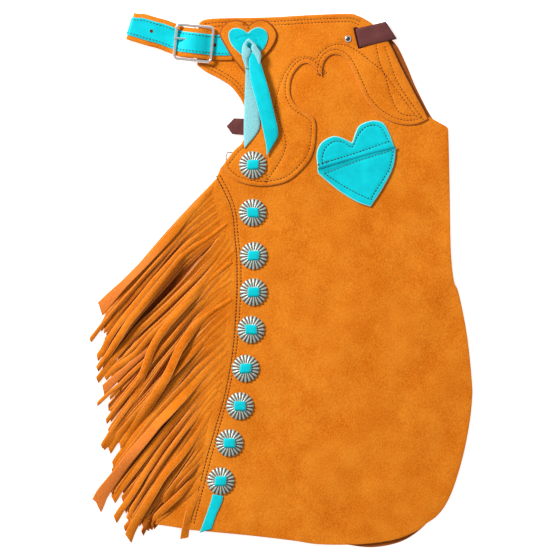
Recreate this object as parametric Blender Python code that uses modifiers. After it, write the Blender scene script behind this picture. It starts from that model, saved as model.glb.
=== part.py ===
"""Fringed suede chaps, laid flat and folded in half so that one leg lies on the other.

Millimetres inside the script, metres in the finished meshes, +Z up. The part
lies on z = 0 and is centred on its origin. +Y runs towards the waist and +X
towards the centre front, where the two legs are tied together.
"""

import math
import random

import bmesh
import bpy
from mathutils import Matrix, Vector

COLLECTION = "fringed_chaps"
MM = 0.001

SUEDE = 1.6                  # thickness of leg and yoke suede
TRIM_LEATHER = 1.0           # thickness of the smooth coloured leather
STRAP_LEATHER = 2.0          # thickness of the brown straps
LACE_LEATHER = 1.2           # thickness of the laces and of the buckle's tab
KNOT_LEATHER = 1.4
TIE_LEATHER = 1.6
SEAM_GAP = 0.3               # between pieces that touch
GRID = 24.0                  # spacing of the points that let a panel bend
EDGE_STEP = 14.0             # spacing of the points along a cut edge

CONCHO_RADIUS = 17.8
CONCHO_HEIGHT = 5.2
CONCHO_FLUTES = 20
CONCHO_LACE = (14.6, 12.6)   # the lace that shows between a concho's slots

BELT_WIDTH = 38.0
INLAY_WIDTH = 26.5
BUCKLE_WIDTH = 51.0
BUCKLE_HEIGHT = 48.0
BUCKLE_WIRE = 1.9            # radius of the buckle frame's wire
BUCKLE_CENTRE = (-111.1, 301.8)
BUCKLE_TURN = -5.5           # degrees
BUCKLE_Z = (11.2, 13.2)      # middle of the left bar and of the right bar

FRINGE_SEED = 7
STRAND_WIDTH = 10.2
STRAND_THICKNESS = 1.4
STRANDS_PER_ROW = 3
STRAND_RINGS = 10
STRAND_TIP_CUT = 5.0         # how far one corner of a tip runs past the other
SLIT = 0.7                   # width of the cut between two strands at their roots
FRINGE_RAMP = 38.0           # length in which strands rise from the strip to their layer
ROOT_UNEVEN = 3.0            # how far the cuts between strands start from their mean line
TIP_UNEVEN = 9.0             # the same for the tips, along the strand
FRINGE_TOP = (129.6, (-85.9, 127.6))     # y of the strip's upper end at the seam, and its outer corner
FRINGE_HEM = ((-309.6, -119.5), (-320.6, -123.0))    # y at the seam and x outside, past the last strand
HEM_SLANT = 1.5

# Where the leather between the legs lifts the top leg: a plateau with soft slopes
SWELL = {"x": (-80.0, 25.0), "y": (143.0, 210.0), "slope": 80.0, "height": 3.1}
# Where the front tie under the bottom leg lifts both legs
TIE_RISE = {"x": (88.0, 150.0), "y": (292.0, 332.0), "slope": 90.0, "height": 2.5}

# Cut edges: x, y, and whether the edge turns a sharp corner there
WAIST_EDGE = (
    (-104.7, 328.0, True), (-89.3, 333.7, False), (-12.5, 335.6, False), (33.6, 338.2, False),
    (86.0, 339.7, False), (97.6, 338.2, False), (116.8, 326.7, False), (138.5, 302.4, False),
    (153.9, 271.6, False), (169.9, 240.9, False), (186.5, 210.2, False),
)
LEG_FRONT_EDGE = (
    (191.0, 207.6, True), (213.0, 195.4, True), (214.5, 192.0, False), (216.6, 106.5, False),
    (217.9, 37.4, False), (221.7, -1.0, False), (227.6, -16.4, False), (235.8, -54.8, False),
    (240.9, -89.3, False), (244.8, -130.3, False), (245.4, -149.5, False), (242.2, -181.5, False),
    (234.5, -222.4, False), (223.0, -262.1, False), (212.1, -287.1, False), (200.0, -303.1, False),
    (185.9, -313.3, False), (173.8, -322.6, False), (144.9, -333.8, False), (101.4, -339.4, False),
    (50.2, -339.6, False), (14.4, -334.6, False), (-48.4, -327.4, False),
)
SIDE_SEAM = (
    (-116.2, -321.0, True), (-114.9, -310.8, False), (-97.0, -237.8, False), (-85.5, -196.8, False),
    (-71.4, -146.9, False), (-61.2, -89.3, False), (-56.6, -21.5, False), (-56.6, 24.6, False),
    (-58.6, 52.8, False), (-61.8, 84.8, False), (-70.1, 107.8, False), (-82.3, 130.2, True),
)
HIP_EDGE = (
    (-76.9, 142.6, True), (-59.2, 165.4, False), (-48.4, 177.0, False), (-43.2, 203.8, False),
    (-47.7, 223.0, False), (-56.0, 237.1, False), (-66.3, 248.6, False), (-81.6, 258.2, False),
    (-96.4, 265.7, False), (-106.6, 274.2, True), (-108.2, 300.0, False),
)
UNDER_LEG_EDGE = (
    (-104.7, 325.4, True), (-89.3, 331.2, False), (-12.5, 333.1, False), (86.0, 336.9, False),
    (98.5, 335.0, False), (121.0, 323.0, False), (146.2, 302.4, False), (160.3, 276.1, False),
    (173.7, 244.8, False), (194.3, 206.4, False), (211.0, 193.5, True), (214.0, 106.5, False),
    (215.3, 37.4, False), (219.2, -2.3, False), (225.6, -17.6, False), (233.2, -54.8, False),
    (238.4, -89.3, False), (242.2, -130.3, False), (242.8, -149.5, False), (239.6, -181.5, False),
    (232.0, -222.4, False), (220.4, -260.8, False), (208.9, -286.4, False), (196.1, -303.1, False),
    (174.4, -324.2, False), (150.0, -337.6, False), (115.5, -343.4, False), (75.8, -339.0, False),
    (33.6, -335.1, False), (-22.8, -328.0, False), (-112.0, -318.4, True), (-94.0, -237.8, False),
    (-68.4, -146.9, False), (-58.2, -89.3, False), (-53.6, -21.5, False), (-53.6, 24.6, False),
    (-58.8, 84.8, False), (-72.0, 120.0, False), (-73.0, 140.0, False), (-55.0, 166.0, False),
    (-45.0, 178.0, False), (-40.2, 203.8, False), (-44.7, 224.0, False), (-63.3, 251.0, False),
    (-103.6, 276.0, True), (-105.2, 300.0, False),
)
YOKE_SCALLOPS = (
    (188.1, 204.3, True), (175.6, 198.7, False), (159.0, 197.4, False), (141.1, 202.0, False),
    (123.2, 213.4, False), (109.1, 229.4, False), (100.1, 247.7, False), (88.6, 272.9, False),
    (79.6, 284.4, False), (68.1, 287.6, False), (59.2, 283.2, False), (54.0, 272.9, False),
    (53.1, 259.1, True), (45.1, 269.1, False), (33.6, 276.2, False), (24.6, 272.9, False),
    (15.6, 261.4, False), (12.1, 247.7, False), (13.1, 234.0, False), (20.0, 222.5, False),
    (33.6, 213.4, False), (43.8, 204.3, False), (45.1, 185.9, False), (41.8, 162.8, False),
    (31.5, 144.9, False), (10.9, 126.5, False), (-12.0, 119.7, False), (-34.8, 119.7, False),
    (-57.7, 126.5, False), (-76.4, 143.2, True),
)
PATCH_HEART = (
    (-77.2, 313.9, False), (-75.9, 324.1, False), (-65.0, 331.2, False), (-53.5, 329.2, False),
    (-43.2, 323.6, True), (-35.6, 329.9, False), (-25.3, 332.1, False), (-12.5, 326.7, False),
    (-4.8, 313.9, False), (-11.2, 296.6, False), (-23.4, 281.9, False), (-37.5, 260.1, True),
    (-48.4, 272.9, False), (-57.7, 286.5, False), (-69.1, 298.0, False),
)
TRIM_HEART = (
    (-66.8, 310.0, False), (-65.0, 317.7, False), (-57.7, 321.2, False), (-49.6, 319.6, False),
    (-42.0, 314.8, True), (-35.6, 320.3, False), (-27.2, 322.1, False), (-18.9, 317.7, False),
    (-16.4, 308.8, False), (-20.2, 297.2, False), (-29.2, 287.0, False), (-40.7, 276.8, True),
    (-50.9, 287.0, False), (-62.4, 298.5, False),
)
POCKET_HEART = (
    (45.6, 159.0, False), (48.2, 169.2, False), (54.9, 177.4, False), (67.7, 183.3, False),
    (79.6, 180.8, False), (91.2, 175.0, True), (98.1, 193.6, False), (105.9, 200.0, False),
    (118.7, 203.4, False), (131.4, 200.0, False), (139.2, 187.2, False), (145.0, 171.5, True),
    (144.6, 148.1, False), (136.4, 127.0, False), (116.4, 95.0, True), (109.1, 95.0, True),
    (83.5, 107.8, False), (59.2, 126.5, False), (48.6, 136.3, False), (47.2, 142.2, True),
)
POCKET_FRONT = (
    (46.8, 141.6, True), (147.2, 169.6, True), (146.0, 148.1, False), (137.4, 126.6, False),
    (116.9, 94.0, True), (108.7, 94.0, True), (83.1, 106.8, False), (58.6, 125.5, False),
    (47.6, 135.6, True),
)
LEG_STRAP = (
    (-69.6, 196.1, True), (-59.9, 206.4, True), (20.0, 203.0, True), (20.0, 179.5, True),
    (-62.4, 185.9, True),
)
LEG_BUCKLE_TAB = (
    (-49.8, 166.5, True), (5.0, 168.0, True), (5.0, 146.0, True), (-49.8, 147.5, True),
)

# Strips: x and y of the left edge, x and y of the right edge, height of the middle over z = 0
LACE_LEFT_TAIL = (
    (-47.7, 296.4, -39.4, 300.4, 14.4), (-49.2, 288.8, -41.8, 289.2, 14.3), (-46.9, 275.5, -41.4, 276.6, 14.0),
    (-46.4, 255.0, -37.9, 255.0, 9.8), (-47.1, 229.4, -32.8, 229.4, 9.5), (-47.5, 206.4, -29.0, 208.9, 9.9),
    (-47.7, 182.3, -29.0, 189.7, 10.1), (-46.4, 167.9, -44.6, 170.0, 10.1),
)
LACE_RIGHT_TAIL = (
    (-38.4, 290.8, -29.2, 293.4, 13.4), (-37.4, 280.6, -26.6, 281.9, 12.6), (-34.3, 255.0, -20.2, 257.6, 8.8),
    (-28.0, 220.4, -10.6, 224.3, 9.7), (-23.4, 188.4, -3.6, 193.6, 9.9), (-21.5, 172.5, -3.6, 182.6, 9.9),
    (-20.6, 166.0, -18.3, 168.0, 9.8),
)
LACE_KNOT = (
    (-48.8, 291.6, -42.6, 289.4, 16.0), (-46.0, 301.0, -40.4, 297.2, 16.3), (-40.6, 304.6, -38.9, 298.2, 16.2),
    (-33.4, 301.2, -37.2, 296.0, 16.2), (-26.8, 292.6, -32.6, 289.8, 15.6), (-23.6, 284.6, -29.8, 282.0, 15.2),
)
LACE_END = (
    (-87.3, -275.2, -73.6, -277.6, 4.4), (-89.6, -284.4, -75.6, -286.4, 4.5), (-96.0, -303.0, -82.6, -302.0, 4.5),
    (-104.0, -324.8, -88.4, -319.7, 4.5),
)

# The belt's upper run: x, y of its middle and the height of the suede's middle
BELT_RUN = (
    (-190.0, 325.0, 6.2), (-180.0, 321.9, 6.6), (-167.4, 317.9, 6.3), (-152.0, 313.8, 5.6),
    (-140.0, 309.2, 5.3), (-134.0, 306.9, 5.4), (-130.5, 305.2, 6.6), (-126.0, 303.8, 10.2),
    (-121.0, 303.0, 13.0), (-111.0, 301.8, 14.7), (-100.0, 300.7, 13.1), (-92.0, 300.0, 9.6),
    (-86.0, 299.5, 8.5), (-74.0, 299.2, 8.3), (-62.0, 299.4, 8.3),
)
BELT_LOWER_Z = 2.4           # middle of the suede on the lower run
INLAY_GAP = 0.5              # between belt suede and inlay, wider than a seam for the steep bends
BELT_LOWER_END = -111.0      # where the lower run meets the bottom leg's yoke
BELT_UPRIGHT = 0.35          # a stretch of belt that travels less sideways than this counts as upright
TONGUE_SLOT = {"centre": (-122.3, 307.2, 13.0), "size": (18.6, 4.6, 14.0)}
TONGUE_WIRE = 1.15
TONGUE_SIDE = 4.2            # from the buckle's middle towards the waist edge
TONGUE_REACH = (2.4, 2.4)    # root past the centre bar, tip past the left bar
TONGUE_Z = (12.2, 14.6)      # middle of the tongue at its root and on the left bar
BAR_WIRE = 1.3
# The tab that holds the buckle: x and height of its middle, from the heart patch to the centre bar
TAB_RUN = ((-63.0, 6.5), (-86.0, 6.5), (-98.0, 8.0), (-107.9, 9.0), (-111.7, 9.5), (-114.1, 10.9))
TAB_WIDTH = 30.0
TAB_MIDDLE = 300.3
TAB_SLOT = {"centre": (-113.5, 306.2, 11.6), "size": (5.6, 4.6, 6.0)}

# The heart patch lies on the belt's end, then steps down to the yoke
PATCH_OVER_BELT = 11.0
PATCH_OVER_YOKE = 0.4        # play between patch and yoke beside the belt
PATCH_STEP_ALONG = (-58.0, 40.0)    # x where the step starts, and its length
PATCH_STEP_DOWN = (276.0, 16.0)     # y where the step starts, and its length

# The front tie: a closed band through both slots and round both legs' front edges
TIE_SLOT = (98.8, 308.5)
TIE_WIDTH = 24.4
TIE_TURN = 13.4              # degrees
TIE_REACH = (38.8, 47.6)     # from the slot to the fold, along the upper and lower edges of the band
TIE_BOTTOM_Z = 1.0
TIE_TOP_Z = 9.4
TIE_BEND = 1.5
TIE_SLOT_WIDTH = 5.2

CONCHO_PLACES = (
    (-35.6, 146.2), (-35.9, 85.4), (-34.8, 30.1), (-34.8, -16.4), (-38.1, -64.5),
    (-44.9, -114.2), (-52.2, -162.3), (-65.5, -209.6), (-76.9, -258.3),
)
RIVET_PLACE = (86.0, 307.5)
RIVET_RADIUS = 4.4
LEG_BUCKLE = {"centre": (-61.5, 157.0), "size": (20.0, 26.0), "wire": 1.2, "z": 3.5}

# Fringe: x, y of a root and x, y of the tip of the strand that starts there
TOP_FRINGE = (
    (-85.5, 125.7, -229.0, -44.0), (-85.5, 86.0, -240.0, -76.0), (-75.2, 50.2, -234.0, -116.0),
    (-70.1, 14.4, -232.0, -147.0), (-71.4, -21.5, -224.0, -171.0), (-72.7, -57.3, -226.0, -206.0),
    (-74.0, -93.2, -219.0, -238.0), (-76.5, -129.0, -231.0, -278.0), (-88.0, -159.7, -216.0, -291.0),
    (-95.7, -193.0, -206.0, -313.0), (-104.7, -225.0, -186.0, -334.0), (-106.4, -246.2, -166.0, -330.0),
    (-110.5, -268.8, -149.0, -320.0), (-115.4, -290.0, -134.0, -319.0),
)
UNDER_FRINGE = (
    (-83.5, 121.7, -222.0, -36.0), (-83.5, 82.0, -230.0, -84.0), (-73.2, 46.2, -229.0, -128.0),
    (-68.1, 10.4, -228.0, -160.0), (-69.4, -25.5, -218.0, -186.0), (-70.7, -61.3, -216.0, -222.0),
    (-72.0, -97.2, -206.0, -256.0), (-74.5, -133.0, -205.0, -290.0), (-86.0, -163.7, -194.0, -316.0),
    (-93.7, -197.0, -181.0, -332.0), (-102.7, -229.0, -160.0, -328.0), (-109.0, -270.0, -136.0, -326.0),
    (-112.4, -292.0, -124.5, -332.5),
)
# Overlapping strands lie in layers: the order repeats along the seam, and the last strands lie lowest
TOP_LAYERS = {"first": 5.9, "pitch": 3.5, "order": (0, 2, 1), "lowest": 0,
              "roll": 11.0, "wobble": 3.6, "delay": 0.0}
UNDER_LAYERS = {"first": 1.05, "pitch": 1.9, "order": (0, 1), "lowest": 7,
                "roll": 0.0, "wobble": 1.6, "delay": 31.0}

FINISHES = {
    "suede": ((0.66, 0.22, 0.03), 0.95, 0.0),
    "trim_leather": ((0.0, 0.60, 0.65), 0.45, 0.0),
    "flesh_side": ((0.28, 0.68, 0.70), 0.8, 0.0),
    "strap_leather": ((0.12, 0.04, 0.04), 0.5, 0.0),
    "nickel": ((0.75, 0.75, 0.76), 0.2, 1.0),
    "antique_metal": ((0.42, 0.48, 0.44), 0.4, 1.0),
}


def clear_scene():
    for old in list(bpy.data.objects):
        bpy.data.objects.remove(old, do_unlink=True)


def new_collection(name, hidden=False):
    collection = bpy.data.collections.new(name)
    bpy.context.scene.collection.children.link(collection)
    collection.hide_render = hidden
    return collection


def finish_material(node, finish):
    colour, roughness, metallic = FINISHES[finish]
    material = bpy.data.materials.new(node)
    material.use_nodes = True
    shader = material.node_tree.nodes["Principled BSDF"]
    shader.inputs["Base Color"].default_value = (*colour, 1.0)
    shader.inputs["Roughness"].default_value = roughness
    shader.inputs["Metallic"].default_value = metallic
    return material


def place_part(name, bm, finish, smooth_angle=None):
    """A bmesh in millimetres becomes a named part in metres."""
    bmesh.ops.scale(bm, vec=(MM, MM, MM), verts=bm.verts)
    mesh = bpy.data.meshes.new(name)
    bm.to_mesh(mesh)
    bm.free()
    mesh.materials.append(finish_material(name, finish))
    if smooth_angle is not None:
        mesh.shade_smooth()
        mesh.set_sharp_from_angle(angle=math.radians(smooth_angle))
    part = bpy.data.objects.new(name, mesh)
    PARTS.objects.link(part)
    return part


def smoothstep(value):
    value = min(max(value, 0.0), 1.0)
    return value * value * (3.0 - 2.0 * value)


def plateau(value, low, high, slope):
    return smoothstep((value - low + slope) / slope) * smoothstep((high + slope - value) / slope)


def rise(shape, x, y):
    return (shape["height"] * plateau(x, *shape["x"], shape["slope"])
            * plateau(y, *shape["y"], shape["slope"]))


def under_leg_bottom(x, y):
    return rise(TIE_RISE, x, y)


def top_leg_bottom(x, y):
    return under_leg_bottom(x, y) + SUEDE + SEAM_GAP + rise(SWELL, x, y)


def on_top_leg(x, y):
    return top_leg_bottom(x, y) + SUEDE + SEAM_GAP


def on_yoke(x, y):
    return on_top_leg(x, y) + SUEDE + SEAM_GAP


def on_belt_end(x, y):
    """The heart patch bridges from the belt's end down to the yoke."""
    beside_belt = on_yoke(x, y) + PATCH_OVER_YOKE
    along = smoothstep((x - PATCH_STEP_ALONG[0]) / PATCH_STEP_ALONG[1])
    down = smoothstep((PATCH_STEP_DOWN[0] - y) / PATCH_STEP_DOWN[1])
    share = max(along, down)
    return PATCH_OVER_BELT * (1.0 - share) + beside_belt * share


def edge_points(rows, closed=True, step=EDGE_STEP):
    """A cut edge through the rows: a smooth curve between sharp corners."""
    count = len(rows)
    points = []
    for index in range(count if closed else count - 1):
        here = rows[index]
        there = rows[(index + 1) % count]
        before = here if here[2] else rows[index - 1]
        after = there if there[2] else rows[(index + 2) % count]
        a, b, c, d = (Vector(row[:2]) for row in (before, here, there, after))
        pieces = max(1, round((c - b).length / step))
        if here[2] and there[2]:
            pieces = 1
        for piece in range(pieces):
            t = piece / pieces
            points.append(0.5 * (2.0 * b + (c - a) * t + (2.0 * a - 5.0 * b + 4.0 * c - d) * t * t
                                 + (3.0 * b - a - 3.0 * c + d) * t ** 3))
    if not closed:
        points.append(Vector(rows[-1][:2]))
    return points


def cloth_piece(name, rows, bottom, thickness, finish, grid=GRID):
    """A cut piece of leather that follows the height function of what it lies on."""
    bm = bmesh.new()
    corners = [bm.verts.new((p.x, p.y, 0.0)) for p in edge_points(rows)]
    bm.faces.new(corners)
    bmesh.ops.recalc_face_normals(bm, faces=bm.faces)
    if bm.faces[:][0].normal.z < 0.0:
        bmesh.ops.reverse_faces(bm, faces=bm.faces)
    for axis in (0, 1):
        lowest = min(v.co[axis] for v in bm.verts)
        highest = max(v.co[axis] for v in bm.verts)
        line = math.ceil((lowest + 1.0) / grid) * grid
        while line < highest - 1.0:
            where = Vector((0.0, 0.0, 0.0))
            where[axis] = line
            normal = Vector((0.0, 0.0, 0.0))
            normal[axis] = 1.0
            bmesh.ops.bisect_plane(bm, geom=bm.verts[:] + bm.edges[:] + bm.faces[:],
                                   plane_co=where, plane_no=normal)
            line += grid
    for vert in bm.verts:
        vert.co.z = bottom(vert.co.x, vert.co.y)
    part = place_part(name, bm, finish)
    wall = part.modifiers.new("cloth thickness", "SOLIDIFY")
    wall.thickness = thickness * MM
    wall.offset = 1.0
    return part


def strip_piece(name, rows, thickness, finish, closed=False):
    """A lace or strap lofted through rows of left edge, right edge and height."""
    bm = bmesh.new()
    rings = []
    for left_x, left_y, right_x, right_y, height in rows:
        middle = ((left_x + right_x) / 2.0, (left_y + right_y) / 2.0)
        rings.append([bm.verts.new((x, y, height)) for x, y in
                      ((left_x, left_y), middle, (right_x, right_y))])
    pairs = list(zip(rings, rings[1:] + rings[:1] if closed else rings[1:]))
    for first, second in pairs:
        for side in (0, 1):
            bm.faces.new((first[side], first[side + 1], second[side + 1], second[side]))
    bmesh.ops.recalc_face_normals(bm, faces=bm.faces)
    part = place_part(name, bm, finish)
    wall = part.modifiers.new("leather thickness", "SOLIDIFY")
    wall.thickness = thickness * MM
    wall.offset = 0.0
    return part


def cut_with_box(parts, name, centre, size, turn):
    """A slot: a box cutter, kept out of the model, taken from each part."""
    bm = bmesh.new()
    bmesh.ops.create_cube(bm, size=MM)
    bmesh.ops.scale(bm, vec=size, verts=bm.verts)
    mesh = bpy.data.meshes.new(name)
    bm.to_mesh(mesh)
    bm.free()
    cutter = bpy.data.objects.new(name, mesh)
    cutter.matrix_world = (Matrix.Translation(Vector(centre) * MM)
                           @ Matrix.Rotation(math.radians(turn), 4, "Z"))
    cutter.hide_render = True
    cutter.display_type = "WIRE"
    CUTTERS.objects.link(cutter)
    for part in parts:
        cut = part.modifiers.new(name, "BOOLEAN")
        cut.operation = "DIFFERENCE"
        cut.solver = "EXACT"
        cut.object = cutter


def seat(surface, x, y, radius):
    """The plane on which a rigid round piece sits on a soft surface."""
    slope_x = (surface(x + radius, y) - surface(x - radius, y)) / (2.0 * radius)
    slope_y = (surface(x, y + radius) - surface(x, y - radius)) / (2.0 * radius)
    normal = Vector((-slope_x, -slope_y, 1.0)).normalized()
    lift = 0.0
    for share in (0.0, 0.5, 1.0):
        for step in range(12):
            angle = math.tau * step / 12
            dx = radius * share * math.cos(angle)
            dy = radius * share * math.sin(angle)
            plane = surface(x, y) + slope_x * dx + slope_y * dy
            lift = max(lift, surface(x + dx, y + dy) - plane)
    height = surface(x, y) + lift + 0.1
    turn = Vector((0.0, 0.0, 1.0)).rotation_difference(normal).to_matrix().to_4x4()
    return Matrix.Translation((x, y, height)) @ turn


def make_legs():
    top_rows = WAIST_EDGE + LEG_FRONT_EDGE + SIDE_SEAM + HIP_EDGE
    under = cloth_piece("under_leg", UNDER_LEG_EDGE, under_leg_bottom, SUEDE, "suede")
    top = cloth_piece("top_leg", top_rows, top_leg_bottom, SUEDE, "suede")
    yoke = cloth_piece("yoke", WAIST_EDGE + YOKE_SCALLOPS + HIP_EDGE[1:], on_top_leg, SUEDE, "suede")
    slot_centre = (*TIE_SLOT, (TIE_BOTTOM_Z + TIE_TOP_Z) / 2.0)
    slot_size = (TIE_SLOT_WIDTH, TIE_WIDTH + 2.4, 30.0)
    cut_with_box((under, top, yoke), "tie_slot", slot_centre, slot_size, TIE_TURN)


def make_pocket():
    def on_pocket_back(x, y):
        return on_top_leg(x, y) + TRIM_LEATHER + SEAM_GAP
    cloth_piece("pocket_back", POCKET_HEART, on_top_leg, TRIM_LEATHER, "trim_leather")
    cloth_piece("pocket_front", POCKET_FRONT, on_pocket_back, TRIM_LEATHER, "trim_leather")


def make_heart_patch():
    def on_patch(x, y):
        return on_belt_end(x, y) + SUEDE + SEAM_GAP
    cloth_piece("heart_patch", PATCH_HEART, on_belt_end, SUEDE, "suede", GRID / 2.0)
    cloth_piece("heart_trim", TRIM_HEART, on_patch, TRIM_LEATHER, "trim_leather", GRID / 2.0)


def make_laces():
    strip_piece("lace_left_tail", LACE_LEFT_TAIL, LACE_LEATHER, "flesh_side")
    strip_piece("lace_right_tail", LACE_RIGHT_TAIL, LACE_LEATHER, "trim_leather")
    strip_piece("lace_knot", LACE_KNOT, KNOT_LEATHER, "flesh_side")
    strip_piece("lace_end", LACE_END, LACE_LEATHER, "trim_leather")


def belt_rows(width, offset):
    """The belt's path from its tip, over the buckle, round the fold and back below."""
    path = [Vector(row) for row in reversed(BELT_RUN)]
    fold_top = path[-1]
    radius = (fold_top.z - BELT_LOWER_Z) / 2.0
    along = (path[-1] - path[-2]).xy.normalized()
    middle = Vector((fold_top.x, fold_top.y, BELT_LOWER_Z + radius))
    for step in range(1, 6):
        angle = math.pi * step / 6.0
        reach = along * math.sin(angle) * radius
        path.append(Vector((middle.x + reach.x, middle.y + reach.y, middle.z + math.cos(angle) * radius)))
    for x, y, _ in BELT_RUN:
        if x <= BELT_LOWER_END:
            path.append(Vector((x, y, BELT_LOWER_Z)))
    rows = []
    for index, point in enumerate(path):
        before = path[max(index - 1, 0)]
        after = path[min(index + 1, len(path) - 1)]
        tangent = (after - before).normalized()
        run = BELT_RUN[0]
        flat = Vector((BELT_RUN[2][0] - run[0], BELT_RUN[2][1] - run[1], 0.0))
        if tangent.xy.length > BELT_UPRIGHT:
            flat = Vector((tangent.x, tangent.y, 0.0))
        if flat.x < 0.0:
            flat = -flat
        side = Vector((-flat.y, flat.x, 0.0)).normalized()
        out = side.cross(tangent).normalized()
        centre = point + out * offset
        rows.append((*(centre.xy + side.xy * width / 2.0), *(centre.xy - side.xy * width / 2.0), centre.z))
    return rows


def make_belt():
    inlay_offset = (SUEDE + TRIM_LEATHER) / 2.0 + INLAY_GAP
    belt = strip_piece("belt_strap", belt_rows(BELT_WIDTH, 0.0), SUEDE, "suede")
    inlay = strip_piece("belt_inlay", belt_rows(INLAY_WIDTH, inlay_offset), TRIM_LEATHER, "trim_leather")
    cut_with_box((belt, inlay), "tongue_slot", TONGUE_SLOT["centre"], TONGUE_SLOT["size"], BUCKLE_TURN)


def wire_loop(name, corners, radius, finish, corner_radius, closed=True, sides=2):
    """A bent wire: a poly curve with rounded corners."""
    points = []
    count = len(corners)
    for index, corner in enumerate(corners):
        if not closed and index in (0, count - 1):
            points.append(corner)
            continue
        before = (corners[index - 1] - corner).normalized()
        after = (corners[(index + 1) % count] - corner).normalized()
        for step in range(5):
            t = step / 4.0
            start = corner + before * corner_radius
            end = corner + after * corner_radius
            points.append(start * (1 - t) ** 2 + corner * 2 * t * (1 - t) + end * t * t)
    curve = bpy.data.curves.new(name, "CURVE")
    curve.dimensions = "3D"
    curve.bevel_depth = radius * MM
    curve.bevel_resolution = sides
    curve.use_fill_caps = not closed
    spline = curve.splines.new("POLY")
    spline.points.add(len(points) - 1)
    for target, point in zip(spline.points, points):
        target.co = (*(point * MM), 1.0)
    spline.use_cyclic_u = closed
    curve.materials.append(finish_material(name, finish))
    part = bpy.data.objects.new(name, curve)
    PARTS.objects.link(part)
    return part


def make_buckle():
    turn = Matrix.Rotation(math.radians(BUCKLE_TURN), 3, "Z")
    half = Vector((BUCKLE_WIDTH / 2.0 - BUCKLE_WIRE, BUCKLE_HEIGHT / 2.0 - BUCKLE_WIRE, 0.0))
    middle_z = sum(BUCKLE_Z) / 2.0
    tilt = (BUCKLE_Z[1] - BUCKLE_Z[0]) / 2.0
    centre = Vector((*BUCKLE_CENTRE, middle_z))
    corners = [centre + turn @ Vector((sx * half.x, sy * half.y, 0.0)) + Vector((0.0, 0.0, sx * tilt))
               for sx, sy in ((-1, 1), (-1, -1), (1, -1), (1, 1))]
    wire_loop("buckle_frame", corners, BUCKLE_WIRE, "nickel", 4.0)
    inside = half.y - BUCKLE_WIRE - SEAM_GAP
    bar = [centre + turn @ Vector((0.0, sy * inside, 0.0)) for sy in (1, -1)]
    wire_loop("buckle_bar", bar, BAR_WIRE, "nickel", 0.0, closed=False)
    root = centre + turn @ Vector((-TONGUE_REACH[0], TONGUE_SIDE, 0.0))
    tip = centre + turn @ Vector((-half.x - TONGUE_REACH[1], TONGUE_SIDE, 0.0))
    root.z, tip.z = TONGUE_Z
    wire_loop("buckle_tongue", [root, tip], TONGUE_WIRE, "nickel", 0.0, closed=False)
    half_tab = TAB_WIDTH / 2.0
    tab_rows = [(x, TAB_MIDDLE + half_tab, x, TAB_MIDDLE - half_tab, z) for x, z in TAB_RUN]
    tab = strip_piece("buckle_tab", tab_rows, LACE_LEATHER, "suede")
    cut_with_box((tab,), "tab_slot", TAB_SLOT["centre"], TAB_SLOT["size"], 0.0)


def make_leg_buckle():
    (x, y), (width, height) = LEG_BUCKLE["centre"], LEG_BUCKLE["size"]
    corners = [Vector((x + sx * width / 2.0, y + sy * height / 2.0, LEG_BUCKLE["z"]))
               for sx, sy in ((-1, 1), (-1, -1), (1, -1), (1, 1))]
    wire_loop("leg_buckle", corners, LEG_BUCKLE["wire"], "nickel", 3.0)

    def between_legs(px, py):
        return under_leg_bottom(px, py) + SUEDE + SEAM_GAP
    cloth_piece("leg_strap", LEG_STRAP, between_legs, STRAP_LEATHER, "strap_leather")
    cloth_piece("leg_buckle_tab", LEG_BUCKLE_TAB, between_legs, STRAP_LEATHER, "strap_leather")


def make_front_tie():
    """A closed band: over both legs, round their front edges, back below and up through the slots."""
    turn = Matrix.Rotation(math.radians(TIE_TURN), 2)
    slot = Vector(TIE_SLOT)
    profile = []
    for share, z, start in ((0.0, TIE_TOP_Z, 180.0), (1.0, TIE_TOP_Z, 90.0),
                            (1.0, TIE_BOTTOM_Z, 0.0), (0.0, TIE_BOTTOM_Z, 270.0)):
        inward_u = TIE_BEND if share == 0.0 else -TIE_BEND
        inward_z = -TIE_BEND if z == TIE_TOP_Z else TIE_BEND
        for step in range(4):
            angle = math.radians(start - 30.0 * step)
            profile.append((share, inward_u + TIE_BEND * math.cos(angle),
                            z + inward_z + TIE_BEND * math.sin(angle)))
    rows = []
    for share, u, z in profile:
        upper = slot + turn @ Vector((u + share * TIE_REACH[0], TIE_WIDTH / 2.0))
        lower = slot + turn @ Vector((u + share * TIE_REACH[1], -TIE_WIDTH / 2.0))
        rows.append((upper.x, upper.y, lower.x, lower.y, z))
    strip_piece("front_tie", rows, TIE_LEATHER, "strap_leather", closed=True)


def concho_profile(column):
    """Radius and height of one radial line of a concho, on a flute's ridge or in its valley."""
    ridge = column % 2 == 0
    rim = CONCHO_RADIUS if ridge else CONCHO_RADIUS - 1.1
    drop = 0.0 if ridge else 0.9
    return ((rim, 0.0), (rim, 1.0), (CONCHO_RADIUS * 0.8, CONCHO_HEIGHT * 0.72 - drop),
            (CONCHO_RADIUS * 0.5, CONCHO_HEIGHT - drop * 0.6), (CONCHO_RADIUS * 0.44, CONCHO_HEIGHT * 0.84))


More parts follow.
